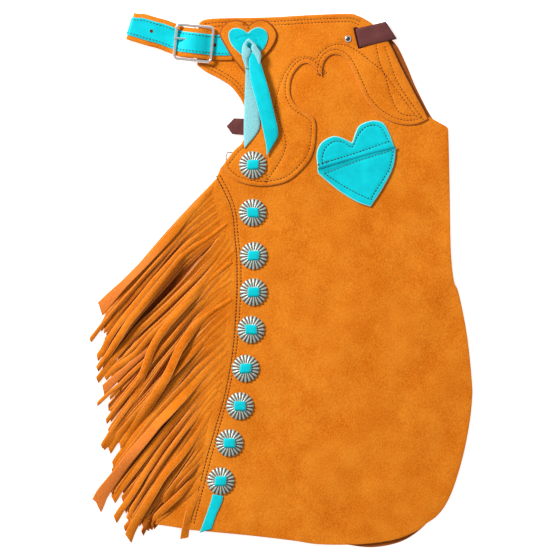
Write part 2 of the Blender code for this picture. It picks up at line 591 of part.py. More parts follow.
def make_concho(number, x, y):
    surface = on_yoke if number == 1 else on_top_leg
    place = seat(surface, x, y, CONCHO_RADIUS)
    bm = bmesh.new()
    columns = []
    count = CONCHO_FLUTES * 2
    for column in range(count):
        angle = math.tau * column / count
        columns.append([bm.verts.new((r * math.cos(angle), r * math.sin(angle), z))
                        for r, z in concho_profile(column)])
    for here, there in zip(columns, columns[1:] + columns[:1]):
        for level in range(len(here) - 1):
            bm.faces.new((here[level], there[level], there[level + 1], here[level + 1]))
    bm.faces.new([line[-1] for line in columns])
    bm.faces.new([line[0] for line in reversed(columns)])
    bmesh.ops.recalc_face_normals(bm, faces=bm.faces)
    bm.transform(place)
    place_part(f"concho_{number}", bm, "antique_metal", 50.0)
    bm = bmesh.new()
    bmesh.ops.create_cube(bm, size=1.0)
    bmesh.ops.scale(bm, vec=(*CONCHO_LACE, TRIM_LEATHER), verts=bm.verts)
    upright = [edge for edge in bm.edges if abs(edge.verts[0].co.z - edge.verts[1].co.z) < 0.01
               and edge.verts[0].co.z > 0.0]
    bmesh.ops.bevel(bm, geom=upright, offset=0.35, segments=1, affect="EDGES")
    bm.transform(place @ Matrix.Translation((0.0, 0.0, CONCHO_HEIGHT + SEAM_GAP + TRIM_LEATHER / 2.0)))
    place_part(f"concho_lace_{number}", bm, "trim_leather")


def make_rivet():
    bm = bmesh.new()
    bmesh.ops.create_uvsphere(bm, u_segments=16, v_segments=8, radius=RIVET_RADIUS)
    bmesh.ops.bisect_plane(bm, geom=bm.verts[:] + bm.edges[:] + bm.faces[:], plane_co=(0.0, 0.0, 0.01),
                           plane_no=(0.0, 0.0, 1.0), clear_inner=True)
    rim = [edge for edge in bm.edges if edge.is_boundary]
    bmesh.ops.holes_fill(bm, edges=rim)
    bmesh.ops.scale(bm, vec=(1.0, 1.0, 0.42), verts=bm.verts)
    bmesh.ops.recalc_face_normals(bm, faces=bm.faces)
    bm.transform(seat(on_yoke, *RIVET_PLACE, RIVET_RADIUS))
    place_part("rivet", bm, "nickel", 60.0)


def seam_x(y, inset):
    """x of the side seam at a height up the leg."""
    rows = sorted((point.y, point.x) for point in edge_points(SIDE_SEAM, closed=False))
    if y <= rows[0][0]:
        return rows[0][1] - inset
    for (low_y, low_x), (high_y, high_x) in zip(rows, rows[1:]):
        if y <= high_y:
            return low_x + (high_x - low_x) * (y - low_y) / (high_y - low_y) - inset
    return rows[-1][1] - inset


def between(rows, place):
    """Root and tip at a place counted in rows of a fringe table."""
    index = min(max(int(place), 0), len(rows) - 2)
    share = place - index
    values = [a + (b - a) * share for a, b in zip(rows[index], rows[index + 1])]
    return Vector(values[:2]), Vector(values[2:])


def strand_rings(root_a, root_b, tip, room, layer, layers, root_height, draw):
    """Rings of four points from the root to the tip of one strand."""
    root = (root_a + root_b) / 2.0
    run = tip - root
    length = run.length
    along = run / length
    side = Vector((-along.y, along.x))
    if side.dot(root_a - root_b) < 0.0:
        side = -side
    start_width = abs((root_a - root_b).dot(side))
    wave = draw.uniform(-1.0, 1.0) * layers["wobble"]
    bow = draw.uniform(-0.6, 1.0) * layers["wobble"]
    roll = math.radians(draw.uniform(-1.0, 1.0) * layers["roll"])
    level = layers["first"] + layers["pitch"] * layer
    rings = []
    for ring in range(1, STRAND_RINGS + 1):
        share = ring / STRAND_RINGS
        free = smoothstep((share * length - FRINGE_RAMP * 0.5) / FRINGE_RAMP)
        rising = smoothstep((share * length - layers["delay"]) / FRINGE_RAMP)
        sway = free * (wave * math.sin(math.tau * share) + bow * math.sin(math.pi * share))
        centre = root + run * share + side * sway
        width = start_width + (STRAND_WIDTH - start_width) * free
        width += (min(STRAND_WIDTH * 0.8, room) - width) * share * share
        settle = 1.0 - 0.3 * smoothstep((share - 0.55) / 0.45)
        height = layers["first"] + (level - layers["first"]) * settle
        height = root_height + (height - root_height) * rising
        turn = roll * free * (1.0 - smoothstep((share - 0.7) / 0.3))
        corners = []
        for across, up in ((1, -1), (1, 1), (-1, 1), (-1, -1)):
            reach = across * width / 2.0
            lift = up * STRAND_THICKNESS / 2.0
            flat = centre + side * (reach * math.cos(turn) - lift * math.sin(turn))
            if ring == STRAND_RINGS:
                flat += along * (across * STRAND_TIP_CUT / 2.0)
            corners.append((flat.x, flat.y, height + reach * math.sin(turn) + lift * math.cos(turn)))
        rings.append(corners)
    return rings


def make_fringe(name, rows, inset, strip_bottom, layers, seed):
    """A backing strip along the side seam whose outer wall runs out into strands."""
    draw = random.Random(seed)
    bm = bmesh.new()
    strands = (len(rows) - 1) * STRANDS_PER_ROW
    sections = []
    tips = []
    rooms = []
    for strand in range(strands):
        place = strand / STRANDS_PER_ROW
        root_a, _ = between(rows, place)
        root_b, tip = between(rows, place + 1.0 / STRANDS_PER_ROW)
        depth = Vector((draw.uniform(-ROOT_UNEVEN, ROOT_UNEVEN), 0.0))
        root_b = root_b + (root_a - root_b).normalized() * SLIT
        for root in (root_a, root_b):
            sections.append((Vector((seam_x(root.y, inset), root.y)), root + depth))
        along = (tip - root_b).normalized()
        side = Vector((-along.y, along.x))
        _, next_tip = between(rows, place + 1.0)
        spacing = abs((next_tip - tip).dot(side)) / STRANDS_PER_ROW
        in_layer = 1 if strand >= strands - layers["lowest"] else len(layers["order"])
        rooms.append(max(spacing * in_layer * 0.82, 2.4))
        tips.append(tip + along * draw.uniform(-TIP_UNEVEN, TIP_UNEVEN) + side * draw.uniform(-1.2, 1.2))
    top_y, top_corner = FRINGE_TOP
    sections.insert(0, (Vector((seam_x(top_y, inset), top_y)), Vector(top_corner)))
    for y, root_x in FRINGE_HEM:
        sections.append((Vector((seam_x(y, inset), y)), Vector((root_x, y + HEM_SLANT))))

    loops = []
    for edge, root in sections:
        low_edge = strip_bottom(edge.x, edge.y)
        low_root = strip_bottom(root.x, root.y)
        loops.append([bm.verts.new(co) for co in
                      ((edge.x, edge.y, low_edge), (edge.x, edge.y, low_edge + SUEDE),
                       (root.x, root.y, low_root + SUEDE), (root.x, root.y, low_root))])
    bm.faces.new(loops[0])
    bm.faces.new(loops[-1][::-1])
    root_walls = {1 + 2 * strand for strand in range(strands)}
    for index, (here, there) in enumerate(zip(loops, loops[1:])):
        for corner in range(4):
            if corner == 2 and index in root_walls:
                continue
            bm.faces.new((here[corner], there[corner], there[(corner + 1) % 4], here[(corner + 1) % 4]))
    for strand in range(strands):
        upper, lower = loops[1 + 2 * strand], loops[2 + 2 * strand]
        ring = [upper[3], upper[2], lower[2], lower[3]]
        root_height = sum(vert.co.z for vert in ring) / 4.0
        layer = layers["order"][strand % len(layers["order"])]
        if strand >= strands - layers["lowest"]:
            layer = 0
        rings = strand_rings(upper[2].co.xy, lower[2].co.xy, tips[strand], rooms[strand],
                             layer, layers, root_height, draw)
        for corners in rings:
            following = [bm.verts.new(corner) for corner in corners]
            for corner in range(4):
                bm.faces.new((ring[corner], ring[(corner + 1) % 4],
                              following[(corner + 1) % 4], following[corner]))
            ring = following
        bm.faces.new(ring)
    bmesh.ops.recalc_face_normals(bm, faces=bm.faces)
    place_part(name, bm, "suede")


def centre_on_origin():
    """Moves every part so that the middle of the outline is above the origin."""
    bpy.context.view_layer.update()
    graph = bpy.context.evaluated_depsgraph_get()
    low = Vector((1e9, 1e9))
    high = -low
    for part in PARTS.objects:
        evaluated = part.evaluated_get(graph)
        for vert in evaluated.to_mesh().vertices:
            low = Vector((min(low.x, vert.co.x), min(low.y, vert.co.y)))
            high = Vector((max(high.x, vert.co.x), max(high.y, vert.co.y)))
        evaluated.to_mesh_clear()
    middle = (low + high) / 2.0
    frame = bpy.data.objects.new("chaps_origin", None)
    bpy.context.scene.collection.objects.link(frame)
    for part in [*PARTS.objects, *CUTTERS.objects]:
        part.parent = frame
    frame.location = (-middle.x, -middle.y, 0.0)
    print("origin shift in mm", round(-middle.x / MM, 2), round(-middle.y / MM, 2))


clear_scene()
PARTS = new_collection(COLLECTION)
CUTTERS = new_collection("cutters", hidden=True)

make_legs()
make_pocket()
make_heart_patch()
make_laces()
make_belt()
make_buckle()
make_leg_buckle()
make_front_tie()
for concho_number, (concho_x, concho_y) in enumerate(CONCHO_PLACES, start=1):
    make_concho(concho_number, concho_x, concho_y)
make_rivet()
make_fringe("top_fringe", TOP_FRINGE, 0.4, top_leg_bottom, TOP_LAYERS, FRINGE_SEED)
make_fringe("under_fringe", UNDER_FRINGE, -1.8, under_leg_bottom, UNDER_LAYERS, FRINGE_SEED + 1)
centre_on_origin()
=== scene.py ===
import math
import random

import bmesh
import bpy
import numpy as np
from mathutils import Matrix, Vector, geometry
from mathutils.kdtree import KDTree


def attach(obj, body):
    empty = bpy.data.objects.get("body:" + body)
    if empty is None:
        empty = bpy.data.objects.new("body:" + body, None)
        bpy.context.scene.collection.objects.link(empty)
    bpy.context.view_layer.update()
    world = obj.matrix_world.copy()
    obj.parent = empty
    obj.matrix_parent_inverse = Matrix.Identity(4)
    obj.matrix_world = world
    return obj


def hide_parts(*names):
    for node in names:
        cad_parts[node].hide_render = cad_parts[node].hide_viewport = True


# Fringed suede chaps, folded in half and lying flat, seen from straight above.
# Sizes are in millimetres until a mesh is made. +Y is the waist, +X the centre front.

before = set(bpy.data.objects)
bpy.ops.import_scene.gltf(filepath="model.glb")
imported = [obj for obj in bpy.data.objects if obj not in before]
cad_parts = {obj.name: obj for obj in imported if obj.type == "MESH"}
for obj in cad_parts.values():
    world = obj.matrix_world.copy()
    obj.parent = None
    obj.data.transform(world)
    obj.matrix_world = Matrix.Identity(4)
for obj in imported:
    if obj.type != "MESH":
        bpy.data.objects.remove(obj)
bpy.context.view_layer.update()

mm = 0.001
originShift = (0.10, -0.26)  # from the cutting table's zero to the part's origin


# colours and nodes

def colour(hexCode):
    parts = [int(hexCode[i:i + 2], 16) / 255.0 for i in (1, 3, 5)]
    return (*(c / 12.92 if c <= 0.04045 else ((c + 0.055) / 1.055) ** 2.4 for c in parts), 1.0)


def addNode(tree, kind, links=None, **settings):
    node = tree.nodes.new(kind)
    for key, value in settings.items():
        setattr(node, key, value)
    for socket, source in (links or {}).items():
        if isinstance(source, bpy.types.NodeSocket):
            tree.links.new(source, node.inputs[socket])
        else:
            node.inputs[socket].default_value = source
    return node


def newMaterial(name, **values):
    material = bpy.data.materials.new(name)
    material.use_nodes = True
    shader = material.node_tree.nodes["Principled BSDF"]
    for socket, value in values.items():
        shader.inputs[socket.replace("_", " ")].default_value = value
    return material, material.node_tree, shader


def perMm(size):
    return 1.0 / (size * mm)  # a noise scale from the size of one blotch


def noiseAt(tree, coords, size, detail=2.0, stretch=None, roughness=0.55):
    if stretch:
        mapping = addNode(tree, "ShaderNodeMapping", {"Vector": coords, "Rotation": (0.0, 0.0, stretch[1]),
                                                      "Scale": (1.0, stretch[0], 1.0)})
        coords = mapping.outputs[0]
    return addNode(tree, "ShaderNodeTexNoise", {"Vector": coords, "Scale": perMm(size), "Detail": detail,
                                                "Roughness": roughness}).outputs["Fac"]


def mixColour(tree, factor, first, second, blend="MIX"):
    return addNode(tree, "ShaderNodeMix", {0: factor, 6: first, 7: second},
                   data_type="RGBA", blend_type=blend).outputs[2]


def spread(tree, value, low, high, toLow=0.0, toHigh=1.0):
    return addNode(tree, "ShaderNodeMapRange", {"Value": value, "From Min": low, "From Max": high,
                                                "To Min": toLow, "To Max": toHigh}).outputs[0]


def bump(tree, shader, height, distance, strength=1.0):
    node = addNode(tree, "ShaderNodeBump",
        {"Height": height, "Distance": distance * mm, "Strength": strength})
    tree.links.new(node.outputs[0], shader.inputs["Normal"])


# Split suede, brushed: a dry matt nap with cloudy light and dark where fibres lie over
suedeLook = {"base": "#DF7200", "light": "#EA8A24", "dark": "#CF6200", "cloudMm": 62.0, "blotchMm": 26.0,
             "napMm": 1.5, "sheen": 0.12}


def suede(name, look, toneAndShade=None):
    material, tree, shader = newMaterial(name, Roughness=0.96, Specular_IOR_Level=0.12,
                                         Sheen_Weight=look["sheen"], Sheen_Roughness=0.45,
                                         Sheen_Tint=colour(look["light"]))
    coords = addNode(tree, "ShaderNodeTexCoord").outputs["Object"]
    clouds = noiseAt(tree, coords, look["cloudMm"], 3.0, (0.7, 0.9))
    blotches = noiseAt(tree, coords, look["blotchMm"], 3.0)
    nap = noiseAt(tree, coords, look["napMm"], 4.0, (0.7, 2.2), 0.72)  # coarser than real fibre, to show
    tint = mixColour(tree, spread(tree, clouds, 0.34, 0.66), colour(look["dark"]), colour(look["light"]))
    patches = mixColour(tree, spread(tree, blotches, 0.38, 0.62), colour(look["dark"]),
        colour(look["light"]))
    tint = mixColour(tree, 0.5, tint, patches)
    tint = mixColour(tree, 0.2, tint, colour(look["base"]))
    tint = mixColour(tree, spread(tree, nap, 0.36, 0.66, 0.0, 0.55), tint, colour(look["light"]))
    blotchy = spread(tree, clouds, 0.3, 0.7, 0.98, 1.03)
    grainy = spread(tree, nap, 0.3, 0.7, 0.76, 1.18)
    tint = mixColour(tree, 1.0, tint, grey(tree, blotchy), "MULTIPLY")
    tint = mixColour(tree, 1.0, tint, grey(tree, grainy), "MULTIPLY")
    # per-strand tone: darker and redder for strands low in the pile, as painted shade, besides their own small
    # differences; above 1.03 a strand shows its paler flesh side
    if toneAndShade:
        shade = addNode(tree, "ShaderNodeAttribute", attribute_name="toneAndShade").outputs["Fac"]
        redder = addNode(tree, "ShaderNodeMath", {0: shade, 1: 1.25}, operation="POWER").outputs[0]
        deep = addNode(tree, "ShaderNodeCombineColor", {0: shade, 1: redder, 2: redder}).outputs[0]
        tint = mixColour(tree, 1.0, tint, deep, "MULTIPLY")
        turned = mixColour(tree, 1.0, colour(look["flesh"]), grey(tree, grainy), "MULTIPLY")
        tint = mixColour(tree, spread(tree, shade, 1.03, 1.11, 0.0, 0.75), tint, turned)
    tree.links.new(tint, shader.inputs["Base Color"])
    rough = addNode(tree, "ShaderNodeMath", {0: nap, 1: blotches}, operation="ADD").outputs[0]
    bump(tree, shader, rough, 0.45, 0.6)
    return material


def grey(tree, value):
    return addNode(tree, "ShaderNodeCombineColor", {0: value, 1: value, 2: value}).outputs[0]


# Cut suede edge: loose pale fibres in the thickness of the hide
def cutEdge(name, hexCode, fibreMm=0.7):
    material, tree, shader = newMaterial(name, Roughness=1.0, Specular_IOR_Level=0.1)
    coords = addNode(tree, "ShaderNodeTexCoord").outputs["Object"]
    fibres = noiseAt(tree, coords, fibreMm, 3.0)
    tint = mixColour(tree, 1.0, colour(hexCode), grey(tree, spread(tree, fibres, 0.3, 0.7, 0.78, 1.12)),
                     "MULTIPLY")
    tree.links.new(tint, shader.inputs["Base Color"])
    bump(tree, shader, fibres, 0.25, 0.6)
    return material


# Dyed smooth leather, lightly finished: a soft satin gloss over a very fine pebble grain
def smoothLeather(name, hexCode, darker, roughness=0.5, grainMm=1.3):
    material, tree, shader = newMaterial(name, Specular_IOR_Level=0.14)
    coords = addNode(tree, "ShaderNodeTexCoord").outputs["Object"]
    pebbles = addNode(tree, "ShaderNodeTexVoronoi", {"Vector": coords, "Scale": perMm(grainMm)},
                      feature="SMOOTH_F1").outputs["Distance"]
    # soft clouds between the darker and the lighter dye colour: partly the dye's own unevenness, partly painted
    # sheen
    clouds = noiseAt(tree, coords, 16.0, 3.0)
    tint = mixColour(tree, spread(tree, clouds, 0.32, 0.7), colour(darker), colour(hexCode))
    tint = mixColour(tree, 1.0, tint, grey(tree, spread(tree, pebbles, 0.0, 0.9, 1.03, 0.93)), "MULTIPLY")
    tree.links.new(tint, shader.inputs["Base Color"])
    rough = spread(tree, clouds, 0.3, 0.7, roughness - 0.06, roughness + 0.08)
    tree.links.new(rough, shader.inputs["Roughness"])
    bump(tree, shader, pebbles, 0.12, 0.4)
    return material


# Bonded polyester thread: twisted strands with a slight shine
def thread(name, hexCode):
    material, tree, shader = newMaterial(name, Roughness=0.6, Specular_IOR_Level=0.3)
    coords = addNode(tree, "ShaderNodeTexCoord").outputs["Object"]
    twist = noiseAt(tree, coords, 0.8, 2.0)
    tint = mixColour(tree, 1.0, colour(hexCode), grey(tree, spread(tree, twist, 0.3, 0.7, 0.7, 1.25)),
        "MULTIPLY")
    tree.links.new(tint, shader.inputs["Base Color"])
    return material


# Nickel-plated steel: a mirror with faint handling haze
def plated(name, hexCode, roughness):
    material, tree, shader = newMaterial(name, Metallic=0.8, Specular_IOR_Level=1.0,
        Base_Color=colour(hexCode))
    coords = addNode(tree, "ShaderNodeTexCoord").outputs["Object"]
    haze = noiseAt(tree, coords, 5.0, 3.0)
    tree.links.new(spread(tree, haze, 0.35, 0.7, roughness, roughness + 0.1), shader.inputs["Roughness"])
    return material


# Cast concho: silvery ridges rubbed bright, verdigris on the slopes, coppery maroon in the grooves
conchoLook = {"ridge": "#BBD3CA", "slope": "#8DB5A8", "groove": "#84453C"}


def antiqued(name, look):
    material, tree, shader = newMaterial(name, Metallic=0.25, Specular_IOR_Level=0.4)
    coords = addNode(tree, "ShaderNodeTexCoord").outputs["Object"]
    depth = addNode(tree, "ShaderNodeAttribute", attribute_name="groove").outputs["Fac"]
    patchy = noiseAt(tree, coords, 1.6, 3.0)
    worn = addNode(tree, "ShaderNodeMath", {0: depth, 1: spread(tree, patchy, 0.3, 0.7, -0.16, 0.16)},
                   operation="ADD").outputs[0]
    ramp = addNode(tree, "ShaderNodeValToRGB", {"Fac": worn})
    stops = ramp.color_ramp.elements
    stops[0].position, stops[0].color = 0.10, colour(look["ridge"])
    stops[1].position, stops[1].color = 0.58, colour(look["groove"])
    middle = stops.new(0.34)
    middle.color = colour(look["slope"])
    tree.links.new(ramp.outputs[0], shader.inputs["Base Color"])
    tree.links.new(spread(tree, worn, 0.0, 1.0, 0.32, 0.7), shader.inputs["Roughness"])
    bump(tree, shader, patchy, 0.12, 0.5)
    return material


finishes = {
    "suede": suede("brushed split suede", suedeLook),
    "fringe": suede("brushed split suede, cut in strands", {**suedeLook, "flesh": "#DC7838", "sheen": 0.03},
        toneAndShade=True),
    # the flesh side: its own duller colour, made darker and redder still as painted shade, for faces that lie
    # under or between other layers
    "inside": suede("suede flesh side, unbrushed, darkened with painted shade", {**suedeLook, "base": "#9C4C16", "light": "#AC5E26",
                                                         "dark": "#6E2F0C", "sheen": 0.1}),
    "suedeEdge": cutEdge("cut edge of suede", "#E2883C"),
    "burnished": cutEdge("cut edge of suede, rubbed dark", "#A4521C"),
    "fringeEdge": cutEdge("cut edge of a strand", "#E48A3C"),
    "turquoise": smoothLeather("dyed smooth leather, turquoise", "#00D5E0", "#00C3D0"),
    "turquoiseEdge": cutEdge("cut edge of dyed leather", "#A6E4E4"),
    # a darker turquoise for the strip along the pocket's mouth: painted shade
    "paintedMouthShade": smoothLeather("dyed smooth leather, in the mouth's shade", "#00A3B0", "#0093A2"),
    "flesh": cutEdge("flesh side of dyed leather", "#8ED2D8", 1.6),
    "strap": smoothLeather("vegetable-tanned strap leather, dark brown", "#713F3D", "#5C3030", 0.55),
    "strapEdge": cutEdge("cut edge of strap leather", "#55302D"),
    "thread": thread("bonded thread, dark brown", "#3A1A18"),
    "greyThread": thread("bonded thread, grey", "#3F7F86"),
    "nickel": plated("nickel plate, polished", "#F2EDEA", 0.07),
    # dark nickel for the rivet's clenched middle: painted shade
    "shadedNickel": plated("nickel plate, tarnished in the rivet's middle", "#4C4A52", 0.25),
    "concho": antiqued("antiqued cast zinc alloy", conchoLook),
    "hole": cutEdge("punched hole wall, darkened with painted shade", "#7A3A1C"),
}
print("materials made:", len(finishes))


# heights: how the folded layers lie on each other

thickness = {"suede": 1.6, "trim": 1.0, "strap": 2.0, "gap": 0.3}
swell = {"x": (-80.0, 25.0), "y": (143.0, 210.0), "slope": 80.0, "height": 3.1}
tieRise = {"x": (88.0, 150.0), "y": (292.0, 332.0), "slope": 90.0, "height": 2.5}
unevenness = {"height": 0.55, "waves": ((31.0, 0.6, 1.3), (43.0, 2.1, 0.4), (67.0, 1.2, 2.0),
                                        (24.0, -0.5, 4.1), (88.0, 0.1, 5.2))}


def smoothStep(value):
    value = np.clip(value, 0.0, 1.0)
    return value * value * (3.0 - 2.0 * value)


def plateau(value, low, high, slope):
    return smoothStep((value - low + slope) / slope) * smoothStep((high + slope - value) / slope)


def rise(shape, x, y):
    return shape["height"] * plateau(x, *shape["x"], shape["slope"]) * plateau(y, *shape["y"],
        shape["slope"])


def softWaves(x, y):  # suede never lies quite flat
    total = 0.0
    for size, turn, start in unevenness["waves"]:
        total = total + np.sin((x * math.cos(turn) + y * math.sin(turn)) / size * 2.2 + start)
    return unevenness["height"] * (1.0 + total / 2.6)


def underLegBottom(x, y):
    return rise(tieRise, x, y)


def topLegBottom(x, y):
    return underLegBottom(x, y) + thickness["suede"] + thickness["gap"] + rise(swell, x, y) + softWaves(x,
        y)


def onTopLeg(x, y):
    return topLegBottom(x, y) + thickness["suede"] + thickness["gap"]


def onYoke(x, y):
    return onTopLeg(x, y) + thickness["suede"] + thickness["gap"]


def onBeltEnd(x, y):  # the heart patch bridges from the belt's end down to the yoke
    share = np.maximum(smoothStep((x + 58.0) / 40.0), smoothStep((276.0 - y) / 16.0))
    return 11.0 * (1.0 - share) + (onYoke(x, y) + 0.4) * share


# outlines and strips

def smoothPath(rows, step, closed=True):
    count = len(rows)
    corner = [len(row) > 2 and row[2] == "corner" for row in rows]
    spots = [np.array(row[:2], float) for row in rows]
    points = []
    for i in range(count if closed else count - 1):
        j = (i + 1) % count
        b, c = spots[i], spots[j]
        a = b if corner[i] or (not closed and i == 0) else spots[i - 1]
        d = c if corner[j] or (not closed and j == count - 1) else spots[(i + 2) % count]
        pieces = max(1, round(float(np.linalg.norm(c - b)) / step))
        for piece in range(pieces):
            t = piece / pieces
            points.append(0.5 * (2.0 * b + (c - a) * t + (2.0 * a - 5.0 * b + 4.0 * c - d) * t * t
                                 + (3.0 * b - a - 3.0 * c + d) * t ** 3))
    if not closed:
        points.append(spots[-1])
    return np.array(points)


def turnLeft(points):  # a closed outline, made to run anticlockwise
    x, y = points[:, 0], points[:, 1]
    area = float(np.sum(x * np.roll(y, -1) - np.roll(x, -1) * y) / 2.0)
    return (points if area > 0 else points[::-1]), abs(area)


def normals(points, closed=True):
    if closed:
        ahead, behind = np.roll(points, -1, 0), np.roll(points, 1, 0)
    else:
        ahead = np.vstack((points[1:], points[-1:]))
        behind = np.vstack((points[:1], points[:-1]))
    along = ahead - behind
    along /= np.maximum(np.linalg.norm(along, axis=1, keepdims=True), 1e-9)
    return np.stack((-along[:, 1], along[:, 0]), 1)  # to the left of the way the points run


def inset(points, distance, closed=True):
    return points + normals(points, closed) * distance


def evenSteps(points, step):
    lengths = np.concatenate(([0.0], np.cumsum(np.linalg.norm(np.diff(points, axis=0), axis=1))))
    spots = np.linspace(0.0, lengths[-1], max(2, round(lengths[-1] / step) + 1))
    return np.stack([np.interp(spots, lengths, points[:, axis]) for axis in range(points.shape[1])], 1)


def inside(points, loop):
    x, y = points[:, 0][:, None], points[:, 1][:, None]
    x1, y1 = loop[:, 0][None], loop[:, 1][None]
    x2, y2 = np.roll(loop[:, 0], -1)[None], np.roll(loop[:, 1], -1)[None]
    crosses = (y1 > y) != (y2 > y)
    with np.errstate(divide="ignore", invalid="ignore"):
        at = (x2 - x1) * (y - y1) / (y2 - y1) + x1
    return (np.sum(crosses & (x < at), 1) % 2) == 1


def treeOf(points):
    tree = KDTree(len(points))
    for i, point in enumerate(points):
        tree.insert((float(point[0]), float(point[1]), 0.0), i)
    tree.balance()
    return tree


# the mesh of one cut piece: face, rounded cut edge and back

edgeProfile = ((0.60, 1.0), (0.20, 0.93), (0.0, 0.66), (0.0, 0.32), (0.16, 0.08), (0.55, 0.0))
paredEdge = ((1.15, 1.0), (0.48, 0.84), (0.0, 0.42), (0.0, 0.2), (0.16, 0.06),
    (0.5, 0.0))  # slants, so that it shows


def fillLoops(loops, spacing, extra=(), seed=1):
    draw = random.Random(seed)
    ring = np.vstack(loops)
    low, high = loops[0].min(0), loops[0].max(0)
    grid = []
    rowHeight = spacing * 0.866
    for row in range(int((high[1] - low[1]) / rowHeight) + 2):
        for column in range(int((high[0] - low[0]) / spacing) + 2):
            grid.append((low[0] + (column + 0.5 * (row % 2)) * spacing + draw.uniform(-0.16,
                0.16) * spacing,
                         low[1] + row * rowHeight + draw.uniform(-0.16, 0.16) * spacing))
    grid = np.array(grid)
    keep = inside(grid, loops[0])
    for hole in loops[1:]:
        keep &= ~inside(grid, hole)
    grid = grid[keep]
    if len(extra):
        extra = extra[inside(extra, loops[0])]
        edgeTree = treeOf(ring)
        extra = np.array([p for p in extra if edgeTree.find((p[0], p[1], 0.0))[2] > 0.7])
    fixed = np.vstack((ring, extra)) if len(extra) else ring
    tree = treeOf(fixed)
    grid = np.array([p for p in grid if tree.find((p[0], p[1], 0.0))[2] > spacing * 0.55])
    points = np.vstack((fixed, grid)) if len(grid) else fixed
    edges, start = [], 0
    for loop in loops:
        edges += [(start + i, start + (i + 1) % len(loop)) for i in range(len(loop))]
        start += len(loop)
    made = geometry.delaunay_2d_cdt([Vector(p) for p in points], edges, [], 0, 1e-5)
    places = np.array([(v.x, v.y) for v in made[0]])
    triangles = np.array(made[2])
    centres = places[triangles].mean(1)
    keep = inside(centres, loops[0])
    for hole in loops[1:]:
        keep &= ~inside(centres, hole)
    triangles = triangles[keep]
    ringAt = {}
    for i, sources in enumerate(made[3]):
        for source in sources:
            if source < len(ring):
                ringAt[source] = i
    return places, triangles, [ringAt[i] for i in range(len(ring))]


def plainObject(name, points, faces, materials, slots=None, smooth=True):
    mesh = bpy.data.meshes.new(name)
    moved = [((x + originShift[0]) * mm, (y + originShift[1]) * mm, z * mm) for x, y, z in points]
    mesh.from_pydata(moved, [], faces)
    for material in materials:
        mesh.materials.append(finishes[material])
    if slots is not None:
        mesh.polygons.foreach_set("material_index", slots)
    if smooth:
        mesh.shade_smooth()
    mesh.update()
    made = bpy.data.objects.new(name, mesh)
    bpy.context.scene.collection.objects.link(made)
    return made


def cutPiece(name, outline, bottomOf, wall, materials, spacing, coarse=12.0, holes=(), seams=(), round_=1.0,
             edgeStep=3.0, profile=edgeProfile, seed=1):
    # a piece of leather with a rounded cut edge, its seams pulled down by the thread
    outer, area = turnLeft(smoothPath(outline, edgeStep))
    loops = [outer] + [turnLeft(np.array(hole))[0][::-1] for hole in holes]
    rings = [[inset(loop, reach * round_) for loop in loops] for reach, _ in profile]
    seamSpots = [evenSteps(path, 0.5) for path in seams]
    seamTree = treeOf(np.vstack(seamSpots)) if seams else None
    extra = []
    for path in seams:
        walk = evenSteps(path, 2.1)
        side = normals(walk, False)
        for reach in (-2.6, -1.2, 0.0, 1.2, 2.6):
            extra.append(walk + side * reach)
    extra = np.vstack(extra) if extra else np.zeros((0, 2))
    if len(extra) > 1:
        kept, cells = [], set()
        for p in extra:
            cell = (round(p[0] / 0.9), round(p[1] / 0.9))
            if cell not in cells:
                cells.add(cell)
                kept.append(p)
        extra = np.array(kept)
    top, topFaces, topRing = fillLoops(rings[0], spacing, extra, seed)
    base, baseFaces, baseRing = fillLoops(rings[-1], coarse, (), seed + 1)

    def pulled(x, y):
        if seamTree is None:
            return np.zeros(len(x))
        near = np.array([seamTree.find((a, b, 0.0))[2] for a, b in zip(x, y)])
        return -0.42 * np.exp(-(near / 1.25) ** 2) + 0.16 * np.exp(-((near - 2.9) / 1.3) ** 2)

    points = [np.column_stack((top, bottomOf(top[:, 0], top[:, 1]) + wall + pulled(top[:, 0], top[:, 1])))]
    faces = [tuple(t) for t in topFaces]
    slots = [0] * len(faces)
    total = len(top)
    middle = []
    for (reach, share), ring in list(zip(profile, rings))[1:-1]:
        ring = np.vstack(ring)
        points.append(np.column_stack((ring, bottomOf(ring[:, 0], ring[:, 1]) + wall * share)))
        middle.append(list(range(total, total + len(ring))))
        total += len(ring)
    points.append(np.column_stack((base, bottomOf(base[:, 0], base[:, 1]))))
    ladder = [topRing] + middle + [[total + i for i in baseRing]]
    faces += [tuple(total + i for i in reversed(tuple(t))) for t in baseFaces]
    slots += [2] * len(baseFaces)
    start = 0
    for loop in loops:
        count = len(loop)
        for level in range(len(ladder) - 1):
            upper, lower = ladder[level], ladder[level + 1]
            for i in range(count):
                a, b = start + i, start + (i + 1) % count
                faces.append((upper[b], upper[a], lower[a], lower[b]))
                slots.append(0 if level == 0 and profile is edgeProfile else 1)
        start += count
    made = plainObject(name, np.vstack(points), faces, materials, slots)
    return made, area


